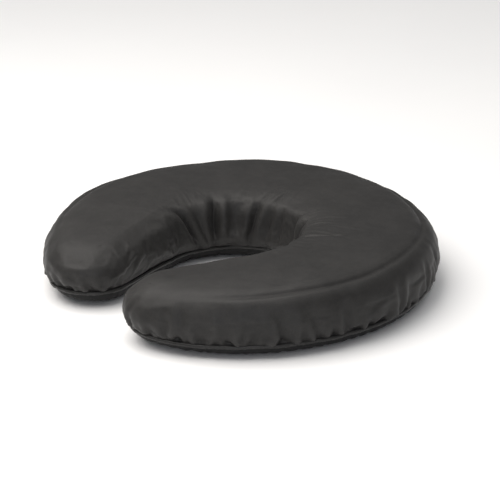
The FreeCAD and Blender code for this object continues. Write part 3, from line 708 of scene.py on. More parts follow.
def leather(name, dark, light, rough=0.53, grain=0.00085, depth=0.00007, wear=0.3, sheen=0.03, coat=0.0):
    """Coated fabric: fine pebble grain, slight mottling, polished high spots
    and painted shade, a darker colour, in low ones."""
    m, nt, b = material(name)
    v = coords(nt)
    big = node(nt, "ShaderNodeTexNoise", Scale=28.0, Detail=4.0, Roughness=0.6)
    nt.links.new(v, big.inputs["Vector"])
    mid = node(nt, "ShaderNodeTexNoise", Scale=170.0, Detail=3.0, Roughness=0.55)
    nt.links.new(v, mid.inputs["Vector"])
    warp = node(nt, "ShaderNodeTexNoise", Scale=1.0 / grain * 0.5, Detail=1.0)
    nt.links.new(v, warp.inputs["Vector"])
    shift = nt.nodes.new("ShaderNodeVectorMath")
    shift.operation = "MULTIPLY_ADD"
    nt.links.new(warp.outputs["Color"], shift.inputs[0])
    shift.inputs[1].default_value = (grain * 0.9,) * 3
    nt.links.new(v, shift.inputs[2])
    cell = node(nt, "ShaderNodeTexVoronoi", feature="SMOOTH_F1", Scale=1.0 / grain)
    cell.inputs["Smoothness"].default_value = 0.35
    nt.links.new(shift.outputs[0], cell.inputs["Vector"])
    crack = node(nt, "ShaderNodeTexVoronoi", feature="DISTANCE_TO_EDGE", Scale=1.0 / (grain * 1.6))
    nt.links.new(shift.outputs[0], crack.inputs["Vector"])
    pebble = mathn(nt, "SUBTRACT", 1.0, cell.outputs["Distance"], clamp=True)
    groove = ramp(nt, crack.outputs["Distance"], [(0.0, (0, 0, 0)), (0.14, (1, 1, 1))])
    height = mathn(nt, "ADD", mathn(nt, "MULTIPLY", pebble, 0.6), mathn(nt, "MULTIPLY", groove, 0.4))
    # high edges are polished by handling; concave valleys get painted shade, a darker colour, and a higher roughness
    geo = nt.nodes.new("ShaderNodeNewGeometry")
    high = ramp(nt, geo.outputs["Pointiness"], [(0.5, (0, 0, 0)), (0.56, (1, 1, 1))])
    valley_shade = ramp(nt, geo.outputs["Pointiness"], [(0.42, (1, 1, 1)), (0.49, (0, 0, 0))])
    tone = mathn(nt, "ADD", mathn(nt, "MULTIPLY", big.outputs["Fac"], 0.6), mathn(nt, "MULTIPLY", mid.outputs["Fac"], 0.4))
    tone = ramp(nt, tone, [(0.34, (0, 0, 0)), (0.66, (1, 1, 1))])
    col = mix(nt, tone, dark, light)
    col = mix(nt, mathn(nt, "MULTIPLY", high, wear), col, tuple(min(1, c * 1.9 + 0.012) for c in light))
    # painted shade: concave valleys are darkened towards 55% of the dark tone
    col = mix(nt, mathn(nt, "MULTIPLY", valley_shade, 0.25), col, tuple(c * 0.55 for c in dark))
    col = mix(nt, mathn(nt, "MULTIPLY", mathn(nt, "SUBTRACT", 1.0, groove), 0.35), col, tuple(c * 0.5 for c in dark))
    nt.links.new(col, b.inputs["Base Color"])
    rr = mathn(nt, "ADD", rough - 0.07, mathn(nt, "MULTIPLY", big.outputs["Fac"], 0.10))
    rr = mathn(nt, "ADD", rr, mathn(nt, "MULTIPLY", mid.outputs["Fac"], 0.05))
    rr = mathn(nt, "SUBTRACT", rr, mathn(nt, "MULTIPLY", high, 0.07))
    rr = mathn(nt, "ADD", rr, mathn(nt, "MULTIPLY", valley_shade, 0.12), clamp=True)
    nt.links.new(rr, b.inputs["Roughness"])
    b.inputs["Specular IOR Level"].default_value = 0.25
    b.inputs["Sheen Weight"].default_value = sheen
    b.inputs["Sheen Roughness"].default_value = 0.45
    b.inputs["Coat Weight"].default_value = coat
    bump1 = node(nt, "ShaderNodeBump", Strength=0.7, Distance=depth)
    nt.links.new(height, bump1.inputs["Height"])
    bump2 = node(nt, "ShaderNodeBump", Strength=0.5, Distance=0.00045)
    nt.links.new(mid.outputs["Fac"], bump2.inputs["Height"])
    nt.links.new(bump1.outputs[0], bump2.inputs["Normal"])
    nt.links.new(bump2.outputs[0], b.inputs["Normal"])
    return m


COVER = leather("cover_leather", (0.0165, 0.0159, 0.0152), (0.026, 0.0249, 0.0237))
cover_ob.data.materials.append(COVER)

# ------------------------------------------------------------- other stuff
def rubberlike(name, dark, light, rough, cell, depth, sheen=0.0):
    """Open-cell foam: pores of mixed size in a chalky solid."""
    m, nt, b = material(name)
    v = coords(nt)
    a = node(nt, "ShaderNodeTexVoronoi", Scale=1.0 / cell)
    nt.links.new(v, a.inputs["Vector"])
    c = node(nt, "ShaderNodeTexVoronoi", Scale=2.3 / cell)
    nt.links.new(v, c.inputs["Vector"])
    n = node(nt, "ShaderNodeTexNoise", Scale=40.0, Detail=4.0)
    nt.links.new(v, n.inputs["Vector"])
    pore = mathn(nt, "MULTIPLY", a.outputs["Distance"], c.outputs["Distance"])
    col = mix(nt, n.outputs["Fac"], dark, light)
    col = mix(nt, ramp(nt, a.outputs["Distance"], [(0.0, (1, 1, 1)), (0.25, (0, 0, 0))]), col, tuple(k * 0.5 for k in dark))
    nt.links.new(col, b.inputs["Base Color"])
    b.inputs["Roughness"].default_value = rough
    b.inputs["Sheen Weight"].default_value = sheen
    bump = node(nt, "ShaderNodeBump", Strength=0.8, Distance=depth)
    nt.links.new(pore, bump.inputs["Height"])
    nt.links.new(bump.outputs[0], b.inputs["Normal"])
    return m


def yarn(name, dark, light, pitch, rough=0.6, sheen=0.4, fine=True):
    """Twisted or woven polyester: crossing threads, slightly fuzzy."""
    m, nt, b = material(name)
    v = coords(nt)
    w1 = node(nt, "ShaderNodeTexWave", Scale=1.0 / pitch * 0.35, Distortion=0.6, Detail=1.0)
    w1.wave_type, w1.bands_direction = "BANDS", "DIAGONAL"
    nt.links.new(v, w1.inputs["Vector"])
    w2 = node(nt, "ShaderNodeTexWave", Scale=1.0 / pitch * 0.5, Distortion=0.6, Detail=1.0)
    w2.wave_type, w2.bands_direction = "BANDS", "Z"
    nt.links.new(v, w2.inputs["Vector"])
    n = node(nt, "ShaderNodeTexNoise", Scale=900.0, Detail=2.0)
    nt.links.new(v, n.inputs["Vector"])
    hgt = mathn(nt, "ADD", mathn(nt, "MULTIPLY", w1.outputs["Fac"], w2.outputs["Fac"]), mathn(nt, "MULTIPLY", n.outputs["Fac"], 0.4))
    nt.links.new(mix(nt, hgt, dark, light), b.inputs["Base Color"])
    b.inputs["Roughness"].default_value = rough
    b.inputs["Sheen Weight"].default_value = sheen
    bump = node(nt, "ShaderNodeBump", Strength=0.6, Distance=pitch * 0.3)
    nt.links.new(hgt, bump.inputs["Height"])
    nt.links.new(bump.outputs[0], b.inputs["Normal"])
    return m


def enamel(name, base, bare):
    """Black enamel over zinc: rubbed bright along its edges, fine scratches."""
    m, nt, b = material(name)
    v = coords(nt)
    geo = nt.nodes.new("ShaderNodeNewGeometry")
    edge = ramp(nt, geo.outputs["Pointiness"], [(0.60, (0, 0, 0)), (0.82, (1, 1, 1))])
    n = node(nt, "ShaderNodeTexNoise", Scale=420.0, Detail=5.0, Roughness=0.7)
    nt.links.new(v, n.inputs["Vector"])
    chips = ramp(nt, n.outputs["Fac"], [(0.56, (0, 0, 0)), (0.70, (1, 1, 1))])
    worn = mathn(nt, "MULTIPLY", mathn(nt, "MULTIPLY", edge, chips), 0.6)
    scr = node(nt, "ShaderNodeTexNoise", Scale=260.0, Detail=2.0)
    nt.links.new(coords(nt, 1.0, (1, 9, 1)), scr.inputs["Vector"])
    nt.links.new(mix(nt, worn, base, bare), b.inputs["Base Color"])
    nt.links.new(worn, b.inputs["Metallic"])
    nt.links.new(mathn(nt, "ADD", 0.20, mathn(nt, "MULTIPLY", scr.outputs["Fac"], 0.20)), b.inputs["Roughness"])
    bump = node(nt, "ShaderNodeBump", Strength=0.3, Distance=0.00003)
    nt.links.new(n.outputs["Fac"], bump.inputs["Height"])
    nt.links.new(bump.outputs[0], b.inputs["Normal"])
    return m


def plastic(name, base, rough=0.35):
    """Monofilament: dull, slightly translucent-looking, flow marks along it."""
    m, nt, b = material(name)
    v = coords(nt)
    n = node(nt, "ShaderNodeTexNoise", Scale=500.0, Detail=3.0)
    nt.links.new(v, n.inputs["Vector"])
    nt.links.new(mix(nt, n.outputs["Fac"], base, tuple(k * 1.6 + 0.004 for k in base)), b.inputs["Base Color"])
    nt.links.new(mathn(nt, "ADD", rough, mathn(nt, "MULTIPLY", n.outputs["Fac"], 0.15)), b.inputs["Roughness"])
    bump = node(nt, "ShaderNodeBump", Strength=0.3, Distance=0.00003)
    nt.links.new(n.outputs["Fac"], bump.inputs["Height"])
    nt.links.new(bump.outputs[0], b.inputs["Normal"])
    return m


# base panel colour is darker than the cover: painted shade for the shadowed underside
BASE_SHADED = leather("base_leather_painted_shade", (0.009, 0.009, 0.009), (0.014, 0.0138, 0.0138), rough=0.6, grain=0.0007, depth=0.00005, wear=0.2, sheen=0.02)
# piping colour is darker than the cover: painted shade for the shadowed seam line
PIPE_SHADED = leather("piping_leather_painted_shade", (0.011, 0.0106, 0.0102), (0.021, 0.0203, 0.0196), rough=0.36, grain=0.0007, depth=0.00004, wear=0.35)
MEMORY = rubberlike("memory_foam", (0.62, 0.52, 0.27), (0.74, 0.64, 0.38), 0.95, 0.0006, 0.0003)
FIRM = rubberlike("support_foam", (0.52, 0.53, 0.52), (0.66, 0.66, 0.64), 0.95, 0.0011, 0.0005)
FILLER = rubberlike("filler_cord", (0.55, 0.55, 0.53), (0.68, 0.68, 0.66), 0.9, 0.0003, 0.0001)
THREAD = yarn("thread", (0.030, 0.030, 0.030), (0.085, 0.083, 0.080), 0.00035, rough=0.45, sheen=0.3)
TAPE = yarn("zip_tape", (0.010, 0.010, 0.011), (0.032, 0.032, 0.034), 0.0006, rough=0.7, sheen=0.5)
PILE = yarn("loop_pile", (0.007, 0.007, 0.0075), (0.030, 0.030, 0.031), 0.0009, rough=0.85, sheen=0.9)
COIL = plastic("zip_coil", (0.016, 0.016, 0.017))
METAL = enamel("zip_enamel", (0.015, 0.015, 0.016), (0.55, 0.54, 0.52))


def dress(ob, mat):
    ob.data.materials.clear()
    ob.data.materials.append(mat)


# -------------------------------------------------------------- base panel
def base_profile(count):
    pts = [(8.0, 10.35), (6.6, 10.3), (5.9, 10.1)]
    for z in np.linspace(9.7, 8.7, 6):
        pts.append((5.7, z))
    for th in np.linspace(0, 90, 30)[1:]:
        a = math.radians(th)
        pts.append((5.7 + 6.5 - 6.5 * math.cos(a), 8.7 - 6.5 * math.sin(a)))
    pts.append((16.0, 2.2))
    pts.append((20.0, 2.22))
    pts = np.array(pts)
    length = np.concatenate([[0], np.cumsum(np.hypot(*np.diff(pts, axis=0).T))])
    t = np.linspace(0, length[-1], count)
    return np.interp(t, length, pts[:, 0]), np.interp(t, length, pts[:, 1])


def flat(grid, edge):
    e = edge.copy()
    e[1:-1, 1:-1] = np.concatenate([edge[0], edge[-1], edge[1:-1, 0], edge[1:-1, -1]]).mean()
    return e


BROWS = 22
b_in, b_lv = base_profile(BROWS)
_si, _sl = seam_at(STATION)
_k = (np.linspace(1, 0, BROWS) ** 1.3)[:, None]
B_IN = b_in[:, None] + _k * (_si - _si.min())[None]
B_LV = b_lv[:, None] + _k * (_sl - _sl.min())[None]
base = Shell(B_IN, B_LV, flat)


def base_folds(shell):
    """Gathers fan in from the seam and die out on the flat underside."""
    s, p = shell.s, shell.p
    out = 0.10 * waves(shell.co, 40.0, 31)
    r = np.random.RandomState(33)
    pos = 0.0
    while pos < LOOP:
        w, a, reach, lean = r.uniform(1.3, 2.8), r.uniform(0.2, 0.75), r.uniform(5, 15), r.uniform(-0.25, 0.25)
        g = gap_s(s, pos) - lean * p
        rise = smooth(p, 2.2, 6.0) * (1 - smooth(p, reach, reach + 8))
        out += (-a * np.exp(-(g / w) ** 2) + 0.35 * a * np.exp(-((g - 2.0 * w) / (1.2 * w)) ** 2)) * rise
        pos += r.uniform(6.5, 13.0)
    return out


_n = base.normals()
if _n[-1, 2] > 0:
    _n = -_n
base_co = base.co + _n * base_folds(base)[:, None]
base_co[:, 2] = np.maximum(base_co[:, 2], 2.2)    # it lies flat over the strips
base_co[:, 2] += 1.8 * smooth(-base_co[:, 1], 92.0, 140.0) * (1 - smooth(base_co[:, 2], 4.0, 10.0))
base_ob = make_mesh("base_shell", base_co, base.faces, flip=not (base.normals(base_co)[-1, 2] > 0))
dress(base_ob, BASE_SHADED)
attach(base_ob, "cushion")
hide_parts("base_panel")


# -------------------------------------------------------------------- foam
def slab(name, mat, profile, cad_node, top=None):
    """Closed foam block: profile rows from the bottom edge to the top edge."""
    ins = np.array([a for a, b in profile], float)
    lev = np.array([b for a, b in profile], float)
    sh = Shell(ins, lev, top or flat)
    co, faces = sh.co, sh.faces
    g = inner_grid(ins[0])
    n0 = len(co)
    ids = np.zeros((NV + 1, NU + 1), int)
    for k, (j, i) in enumerate(RING):
        ids[j, i] = k
    ids[1:-1, 1:-1] = n0 + np.arange((NV - 1) * (NU - 1)).reshape(NV - 1, NU - 1)
    inside = g[1:-1, 1:-1].reshape(-1, 2)
    co = np.concatenate([co, np.column_stack([inside, np.full(len(inside), lev[0])])])
    lower = np.stack([ids[:-1, :-1], ids[:-1, 1:], ids[1:, 1:], ids[1:, :-1]], -1).reshape(-1, 4)
    faces = np.concatenate([faces, lower])
    co = co + 0.12 * np.column_stack([waves(co, 5.0, 3), waves(co, 5.0, 4), 0 * co[:, 0]])
    none = np.zeros(len(co) - n0)
    co = settle(co, np.concatenate([sh.s, none]), np.concatenate([sh.d, none]))
    ob = make_mesh(name, co, faces, flip=sh.normals()[-(NV - 1) * (NU - 1) // 2, 2] < 0)
    dress(ob, mat)
    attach(ob, "cushion")
    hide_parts(cad_node)
    return ob


slab("foam_lower", FIRM, [(24.0, 7.2), (20.0, 7.6), (17.5, 9.5), (16.0, 13.5), (11.5, 20.0), (8.8, 29.9)],
     "support_foam")
slab("foam_upper", MEMORY, [(8.8, 30.1), (9.2, 33.0), (10.6, 37.0), (13.4, 41.5), (16.0, 43.6), (20.0, 45.4)],
     "comfort_foam")

# ------------------------------------------------------------------ piping
def tube(name, path, radius, sides=12, closed=True, twist=0.0):
    """Tube of rings round a path; radius may differ at each point."""
    path = np.asarray(path, float)
    n = len(path)
    radius = np.broadcast_to(radius, (n,))
    if closed:
        t = np.roll(path, -1, 0) - np.roll(path, 1, 0)
    else:
        t = np.gradient(path, axis=0)
    t /= np.linalg.norm(t, axis=1, keepdims=True)
    side = np.cross(t, [0, 0, 1.0])
    side /= np.maximum(np.linalg.norm(side, axis=1, keepdims=True), 1e-9)
    up_ = np.cross(side, t)
    a = np.arange(sides) * 2 * np.pi / sides + twist
    ring = side[:, None] * np.cos(a)[None, :, None] + up_[:, None] * np.sin(a)[None, :, None]
    co = (path[:, None] + ring * radius[:, None, None]).reshape(-1, 3)
    i = np.arange(n if closed else n - 1)[:, None]
    k = np.arange(sides)[None]
    j = (i + 1) % n
    kk = (k + 1) % sides
    faces = np.stack([i * sides + k, j * sides + k, j * sides + kk, i * sides + kk], -1).reshape(-1, 4)
    return co, faces


count = 1500
ps = np.linspace(0, LOOP, count, endpoint=False)
pp, pn = at(ps)
flat3 = np.column_stack([pp, np.zeros(count)])
wander = 0.16 * waves(flat3, 26.0, 41) + 0.07 * waves(flat3, 7.0, 42)
lift = 0.22 * waves(flat3, 34.0, 43) + 0.06 * waves(flat3, 8.0, 44)
seam_in, seam_lv = seam_at(ps)
_low = seam_at(np.array([0.0]))
seam_in, seam_lv = seam_in - _low[0], seam_lv - _low[1]
path = np.column_stack([pp - pn * (3.75 + seam_in - np.clip(wander, -0.3, 0.3))[:, None],
                        10.5 + seam_lv + np.clip(lift, -0.35, 0.35)])
rad = 1.56 + 0.05 * np.sin(2 * np.pi * ps / 3.4) + 0.06 * waves(flat3, 15.0, 45)
co, fa = tube("piping", path, rad, 14)
pipe_ob = make_mesh("seam_piping", co, fa)
dress(pipe_ob, PIPE_SHADED)
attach(pipe_ob, "cushion")
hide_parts("piping_sleeve")
co, fa = tube("filler", path, 0.95, 8)
ob = make_mesh("piping_filler", co, fa)
dress(ob, FILLER)
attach(ob, "cushion")
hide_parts("piping_cord")
tpath = np.column_stack([pp - pn * (7.9 + seam_in)[:, None], 10.9 + seam_lv + 0.10 * np.sin(2 * np.pi * ps / 3.0)])
co, fa = tube("lockstitch", tpath, 0.25 + 0.07 * np.cos(2 * np.pi * ps / 3.0), 8)
ob = make_mesh("seam_lockstitch", co, fa)
dress(ob, THREAD)
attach(ob, "cushion")
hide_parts("seam_thread")


# ---------------------------------------------------------------- stitches
def capsule_rows(starts, ends, outs, radius, sag, sides=8, steps=7):
    """Many short stitches in one mesh: each rises out of the cloth, lies on
    it and dips back in."""
    cos, fas, base_i = [], [], 0
    a = np.arange(sides) * 2 * np.pi / sides
    for p0, p1, o in zip(starts, ends, outs):
        p0, p1, o = (np.asarray(q, float) for q in (p0, p1, o))
        t = np.linspace(0, 1, steps)
        bow = np.sin(np.pi * t) ** 0.5
        line = p0 + (p1 - p0) * t[:, None] + o * ((bow - 1) * sag)[:, None]
        d = (p1 - p0) / np.linalg.norm(p1 - p0)
        side = np.cross(d, o)
        side /= np.linalg.norm(side)
        rr = radius * np.array([0.45] + [1.0] * (steps - 2) + [0.45])
        ring = side[None, None] * np.cos(a)[None, :, None] + o[None, None] * np.sin(a)[None, :, None] * 0.85
        cos.append((line[:, None] + ring * rr[:, None, None]).reshape(-1, 3))
        i = np.arange(steps - 1)[:, None]
        k = np.arange(sides)[None]
        kk = (k + 1) % sides
        f = np.stack([i * sides + k, (i + 1) * sides + k, (i + 1) * sides + kk, i * sides + kk], -1).reshape(-1, 4)
        fas.append(f + base_i)
        base_i += steps * sides
    return np.concatenate(cos), np.concatenate(fas)


# -------------------------------------------------------------- loop strips
def round_rect(half_x, half_y, corner, spacing):
    pts, nrm = [], []
    for k, (sx, sy) in enumerate(((1, 1), (-1, 1), (-1, -1), (1, -1))):
        for a in np.linspace(90 * k, 90 * k + 90, 9):
            u = U(a)
            pts.append(np.array([sx * (half_x - corner), sy * (half_y - corner)]) + u * corner)
            nrm.append(u)
    pts, nrm = np.array(pts), np.array(nrm)
    closed = np.vstack([pts, pts[:1]])
    cn = np.vstack([nrm, nrm[:1]])
    length = np.concatenate([[0], np.cumsum(np.hypot(*np.diff(closed, axis=0).T))])
    n = int(round(length[-1] / spacing))
    t = np.linspace(0, length[-1], n, endpoint=False)
    p = np.stack([np.interp(t, length, closed[:, k]) for k in (0, 1)], -1)
    q = np.stack([np.interp(t, length, cn[:, k]) for k in (0, 1)], -1)
    return p, q / np.linalg.norm(q, axis=1, keepdims=True), t, length[-1]


def strip(name, cad_node, half_x, half_y, centre, seed):
    """A strip of loop pile: soft rounded edge, pressed sewing line, tufts."""
    cell = 0.85
    nx, ny = int(2 * half_x / cell), int(2 * half_y / cell)
    u = np.linspace(-1, 1, nx + 1)
    v = np.linspace(-1, 1, ny + 1)
    X, Y = np.meshgrid(u * half_x, v * half_y)
    # pull the square corners in to round ones
    c = 5.0
    ax, ay = np.abs(X) - (half_x - c), np.abs(Y) - (half_y - c)
    k = (ax > 0) & (ay > 0)
    m = np.maximum(ax, ay)
    r = np.hypot(ax, ay)
    f = np.where(k & (r > 0), m / np.maximum(r, 1e-6), 1.0)
    X = np.where(k, np.sign(X) * (half_x - c + ax * f), X)
    Y = np.where(k, np.sign(Y) * (half_y - c + ay * f), Y)
    ax, ay = np.abs(X) - (half_x - c), np.abs(Y) - (half_y - c)
    edge = np.where((ax > 0) & (ay > 0), c - np.hypot(ax, ay), np.minimum(half_x - np.abs(X), half_y - np.abs(Y)))
    P = np.column_stack([X.ravel(), Y.ravel(), np.zeros(X.size)])
    e = edge.ravel()
    z = 0.22 + 0.9 * (1 - smooth(e, 0.0, 1.7))
    z += 0.75 * np.exp(-((e - 3.3) / 0.8) ** 2)
    tuft = 0.10 * waves(P, 2.6, seed) + 0.09 * waves(P, 4.5, seed + 1) + 0.05 * waves(P, 14.0, seed + 2)
    z = np.maximum(z + tuft, 0.02)
    P[:, 2] = z
    n1 = len(P)
    ids = np.arange(n1).reshape(ny + 1, nx + 1)
    faces = [np.stack([ids[:-1, :-1], ids[1:, :-1], ids[1:, 1:], ids[:-1, 1:]], -1).reshape(-1, 4)]
    border = np.concatenate([ids[0, :-1], ids[:-1, -1], ids[-1, :0:-1], ids[:0:-1, 0]])
    top = P[border].copy()
    top[:, 2] = 2.2
    P = np.concatenate([P, top])
    t_id = n1 + np.arange(len(border))
    nb = len(border)
    kk = (np.arange(nb) + 1) % nb
    faces.append(np.stack([border, border[kk], t_id[kk], t_id], -1))
    # flat backing against the base
    n2 = len(P)
    back = P[:n1].copy()
    back[:, 2] = 2.2
    inner = ids[1:-1, 1:-1].ravel()
    P = np.concatenate([P, back[inner]])
    ids2 = np.zeros_like(ids)
    ids2.ravel()[border] = t_id
    ids2[1:-1, 1:-1] = n2 + np.arange(len(inner)).reshape(ny - 1, nx - 1)
    faces.append(np.stack([ids2[:-1, :-1], ids2[:-1, 1:], ids2[1:, 1:], ids2[1:, :-1]], -1).reshape(-1, 4))
    P[:, 0] += centre[0]
    P[:, 1] += centre[1]
    # real loops of filament standing out of the pile
    r_ = np.random.RandomState(seed)
    cos, fas, b0 = [P], np.concatenate(faces), len(P)
    loops = 950
    fl = [fas]
    sides, steps = 4, 7
    a = np.arange(sides) * 2 * np.pi / sides
    for _ in range(loops):
        x0 = r_.uniform(-half_x + 1.6, half_x - 1.6)
        y0 = r_.uniform(-half_y + 1.6, half_y - 1.6)
        ee = min(half_x - abs(x0), half_y - abs(y0))
        if 2.3 < ee < 4.3:
            continue
        ang = r_.uniform(0, 2 * np.pi)
        d = np.array([math.cos(ang), math.sin(ang), 0])
        wid, tall = r_.uniform(0.35, 0.7), r_.uniform(0.25, 0.42)
        t = np.linspace(0, np.pi, steps)
        line = (np.array([x0 + centre[0], y0 + centre[1], 0.44]) + d * (wid * np.cos(t))[:, None]
                - np.array([0, 0, 1.0]) * (tall * np.sin(t))[:, None])
        line[:, 2] = np.maximum(line[:, 2], 0.07)
        side = np.array([-d[1], d[0], 0])
        ring = side[None, None] * np.cos(a)[None, :, None] + np.array([0, 0, 1.0])[None, None] * np.sin(a)[None, :, None]
        cos.append((line[:, None] + 0.06 * ring).reshape(-1, 3))
        i = np.arange(steps - 1)[:, None]
        q = np.arange(sides)[None]
        q2 = (q + 1) % sides
        fl.append(np.stack([i * sides + q, (i + 1) * sides + q, (i + 1) * sides + q2, i * sides + q2], -1).reshape(-1, 4) + b0)
        b0 += steps * sides
    ob = make_mesh(name, np.concatenate(cos), np.concatenate(fl))
    dress(ob, PILE)
    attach(ob, "cushion")
    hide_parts(cad_node)
    # lockstitches along the pressed line
    line, nrm, t, total = round_rect(half_x - 3.3, half_y - 3.3, 2.4, 0.25)
    number = int(total / 3.1)
    starts, ends, outs = [], [], []
    for k_ in range(number):
        i0 = int(len(line) * k_ / number)
        i1 = int(len(line) * (k_ + 0.84) / number) % len(line)
        a0 = np.array([line[i0, 0] + centre[0], line[i0, 1] + centre[1], 0.72])
        a1 = np.array([line[i1, 0] + centre[0], line[i1, 1] + centre[1], 0.72])
        starts.append(a0)
        ends.append(a1)
        outs.append((0, 0, -1.0))
    return starts, ends, outs


sts, ens, ous = [], [], []
for args in (("pile_left", "loop_strip_left", 19.0, 64.0, (-99.5, -8.0), 61),
             ("pile_right", "loop_strip_right", 19.0, 64.0, (99.5, -8.0), 71),
             ("pile_crown", "loop_strip_crown", 56.0, 19.0, (0.0, 90.0), 81)):
    a_, b_, c_ = strip(*args)
    sts += a_
    ens += b_
    ous += c_
co, fa = capsule_rows(sts, ens, ous, 0.27, 0.55)
st_ob = make_mesh("strip_stitches", co, fa)
dress(st_ob, THREAD)
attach(st_ob, "cushion")
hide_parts("strip_stitching")

# --------------------------------------------------------------------- zip
SLOPE = math.radians(18.70)
ZR = R1 - 5.4 + (17.7 - 11.0) * math.tan(SLOPE)


def wall(phi, u, w):
    """Point of the zip: phi degrees from the middle of the crown, u up the
    wall from the chain, w off the wall."""
    phi, u, w = np.broadcast_arrays(np.radians(phi), u, w)
    rad_ = ZR + u * math.sin(SLOPE) + w * math.cos(SLOPE)
    return np.stack([-rad_ * np.sin(phi), O1[1] + rad_ * np.cos(phi), 17.7 + u * math.cos(SLOPE) - w * math.sin(SLOPE)], -1)


def band(name, section, phi, wobble=0.0, seed=0):
    """A closed section of (u, w) points carried along the chain's arc."""
    sec = np.array(section, float)
    n, k = len(phi), len(sec)
    ww = np.zeros(n)
    if wobble:
        ww = wobble * waves(np.column_stack([phi * 2.6, 0 * phi, 0 * phi]), 18.0, seed)
    co = np.concatenate([wall(np.full(k, f), sec[:, 0] + (np.abs(sec[:, 0]) > 3) * w_, sec[:, 1]) for f, w_ in zip(phi, ww)])
    i = np.arange(n - 1)[:, None]
    j = np.arange(k)[None]
    jj = (j + 1) % k
    fa_ = np.stack([i * k + j, (i + 1) * k + j, (i + 1) * k + jj, i * k + jj], -1).reshape(-1, 4)
    return co, fa_


phi_t = np.linspace(-31, 31, 260)
for sign, label in ((1, "upper"), (-1, "lower")):
    sec = [(0.35, 0.10), (0.45, 0.0), (5.3, 0.0), (5.55, 0.12), (5.6, 0.28), (5.45, 0.44), (5.1, 0.5), (4.9, 0.40),
           (4.5, 0.34), (4.1, 0.40), (3.6, 0.50), (2.4, 0.52), (2.2, 0.56), (0.6, 0.56), (0.4, 0.50), (0.35, 0.3)]
    sec = [(sign * a, b) for a, b in sec]
    co, fa = band(label, sec, phi_t, 0.10, 91 + sign)
    ob = make_mesh("tape_" + label, co, fa, flip=sign > 0)
    dress(ob, TAPE)
    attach(ob, "cushion")
    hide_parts("zip_tape_" + label)
    # the coil: one long flattened spring sewn to the tape's edge
    pitch = math.degrees(1.25 / ZR)
    turns = int(2 * 29.7 / pitch)
    per = 12
    tt = np.arange(turns * per + 1) / per
    ang = 2 * np.pi * tt + (0 if sign > 0 else np.pi)
    uu = sign * (0.98 - 1.08 * np.cos(ang) ** 1)
    wv = 1.26 + 0.42 * np.sin(ang)
    ph = -29.7 + tt * pitch + 0.18 * pitch * np.sin(ang)
    line = wall(ph, uu, wv)
    t3 = np.gradient(line, axis=0)
    t3 /= np.linalg.norm(t3, axis=1, keepdims=True)
    side = np.cross(t3, np.array([0.0, 0.3, 1.0]))
    side /= np.linalg.norm(side, axis=1, keepdims=True)
    upv = np.cross(side, t3)
    q = np.arange(6) * np.pi / 3
    co = (line[:, None] + 0.27 * (side[:, None] * np.cos(q)[None, :, None] + upv[:, None] * np.sin(q)[None, :, None])).reshape(-1, 3)
    i = np.arange(len(line) - 1)[:, None]
    k = np.arange(6)[None]
    k2 = (k + 1) % 6
    fa = np.stack([i * 6 + k, (i + 1) * 6 + k, (i + 1) * 6 + k2, i * 6 + k2], -1).reshape(-1, 4)
    ob = make_mesh("coil_" + label, co, fa)
    dress(ob, COIL)
    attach(ob, "cushion")
    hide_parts("zip_coil_" + label)

sts, ens, ous = [], [], []
for sign in (1, -1):
    for k in range(52):
        f0 = -30.2 + k * 60.4 / 52
        f1 = f0 + 60.4 / 52 * 0.82
        a0, a1 = wall(f0, sign * 4.5, 0.52), wall(f1, sign * 4.5, 0.52)
        o = wall((f0 + f1) / 2, sign * 4.5, 1.52) - wall((f0 + f1) / 2, sign * 4.5, 0.52)
        sts.append(a0)
        ens.append(a1)
        ous.append(o)
co, fa = capsule_rows(sts, ens, ous, 0.2, 0.35)
ob = make_mesh("zip_stitches", co, fa)
dress(ob, THREAD)
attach(ob, "cushion")
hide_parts("zip_stitching")

for name in ("zip_slider", "zip_pull_tab", "zip_stop_left", "zip_stop_right"):
    ob = NODES[name]
    dress(ob, METAL)
    bv = ob.modifiers.new("soft_edges", "BEVEL")
    bv.width = 0.0003
    bv.segments = 3
    bv.limit_method = "ANGLE"
# ------------------------------------------------------------------ staging
def area_light(name, place, aim, size, power, colour=(1, 1, 1), size_y=None):
    l = bpy.data.lights.new(name, "AREA")
    l.energy = power
    l.color = colour
    l.shape = "RECTANGLE"
    l.size = size
    l.size_y = size_y or size
    o = bpy.data.objects.new(name, l)
    o.location = place
    o.rotation_euler = (Vector(aim) - Vector(place)).to_track_quat("-Z", "Y").to_euler()
    bpy.context.scene.collection.objects.link(o)
    return o


def floor():
    bm = bmesh.new()
    n = 48
    r = 6.0
    centre = bm.verts.new((0, 0, 0))
    rings = []
    for k, rr in enumerate((0.4, 1.0, 2.2, r)):
        rings.append([bm.verts.new((rr * math.cos(2 * math.pi * i / n), rr * math.sin(2 * math.pi * i / n), 0.0))
                      for i in range(n)])
    for i in range(n):
        bm.faces.new((centre, rings[0][i], rings[0][(i + 1) % n]))
        for k in range(3):
            bm.faces.new((rings[k][i], rings[k + 1][i], rings[k + 1][(i + 1) % n], rings[k][(i + 1) % n]))
    me = bpy.data.meshes.new("floor")
    bm.to_mesh(me)
    bm.free()
    ob = bpy.data.objects.new("floor", me)
    bpy.context.scene.collection.objects.link(ob)
    m, nt, b = material("floor_paper")
    v = coords(nt)
    nz = node(nt, "ShaderNodeTexNoise", Scale=6.0, Detail=3.0)
    nt.links.new(v, nz.inputs["Vector"])
    nt.links.new(mix(nt, nz.outputs["Fac"], (0.88, 0.88, 0.88), (0.92, 0.92, 0.915)), b.inputs["Base Color"])
    b.inputs["Roughness"].default_value = 0.75
    b.inputs["Specular IOR Level"].default_value = 0.2
    me.materials.append(m)


floor()

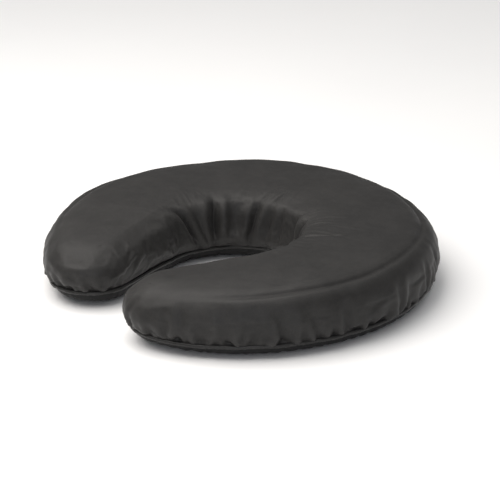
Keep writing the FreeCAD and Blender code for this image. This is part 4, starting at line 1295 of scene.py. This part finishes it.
world = bpy.data.worlds.new("studio")
bpy.context.scene.world = world
world.use_nodes = True
_wt = world.node_tree
_bg = _wt.nodes["Background"]
_tc = _wt.nodes.new("ShaderNodeTexCoord")
_sep = _wt.nodes.new("ShaderNodeSeparateXYZ")
_wt.links.new(_tc.outputs["Generated"], _sep.inputs[0])
_wr = _wt.nodes.new("ShaderNodeValToRGB")
_wr.color_ramp.elements[0].position = 0.0
_wr.color_ramp.elements[0].color = (0.10, 0.102, 0.108, 1)
_wr.color_ramp.elements[1].position = 1.0
_wr.color_ramp.elements[1].color = (1.0, 0.99, 0.98, 1)
for _pos, _c in ((0.42, 0.12), (0.62, 0.42), (0.82, 0.85)):
    _el = _wr.color_ramp.elements.new(_pos)
    _el.color = (_c, _c, _c, 1)
_wt.links.new(_sep.outputs["Z"], _wr.inputs[0])
_wt.links.new(_wr.outputs[0], _bg.inputs[0])
_bg.inputs[1].default_value = 1.0

AZ, EL, ROLL, DIST = 54.5, 21.7, 0.9, 2.5
az, el = math.radians(AZ), math.radians(EL)
forward = Vector((-math.sin(az) * math.cos(el), math.cos(az) * math.cos(el), -math.sin(el)))
right = Vector((math.cos(az), math.sin(az), 0))
target = Vector((0.0, 0.0019, 0.0255))
cam = bpy.data.cameras.new("camera")
cam_ob = bpy.data.objects.new("camera", cam)
bpy.context.scene.collection.objects.link(cam_ob)
cam_ob.location = target - forward * DIST
up = right.cross(forward)
rot = Matrix((right, up, -forward)).transposed().to_4x4()
cam_ob.matrix_world = Matrix.Translation(cam_ob.location) @ rot @ Matrix.Rotation(math.radians(-ROLL), 4, "Z")
cam.lens = 236.0
cam.sensor_width = 36.0
cam.clip_end = 50
bpy.context.scene.camera = cam_ob

# key from above and behind on the left, a broad front fill, a soft kicker
def around(a, e, dist):
    """Place seen from the cushion at azimuth a, as the camera's are counted."""
    a, e = math.radians(a), math.radians(e)
    return tuple(Vector((math.sin(a) * math.cos(e), -math.cos(a) * math.cos(e), math.sin(e))) * dist)


area_light("key", around(AZ - 140, 36, 2.6), (0, 0, 0.03), 1.6, 3.4, (1.0, 0.95, 0.90))
area_light("fill", around(AZ - 78, 66, 0.80), (0.08, -0.05, 0.04), 0.9, 8.0, (1.0, 0.962, 0.925))
area_light("front", around(AZ - 2, 17, 2.6), (0, 0, 0.03), 1.4, 14, (0.92, 0.93, 1.0))

bpy.context.scene.view_settings.view_transform = "Standard"
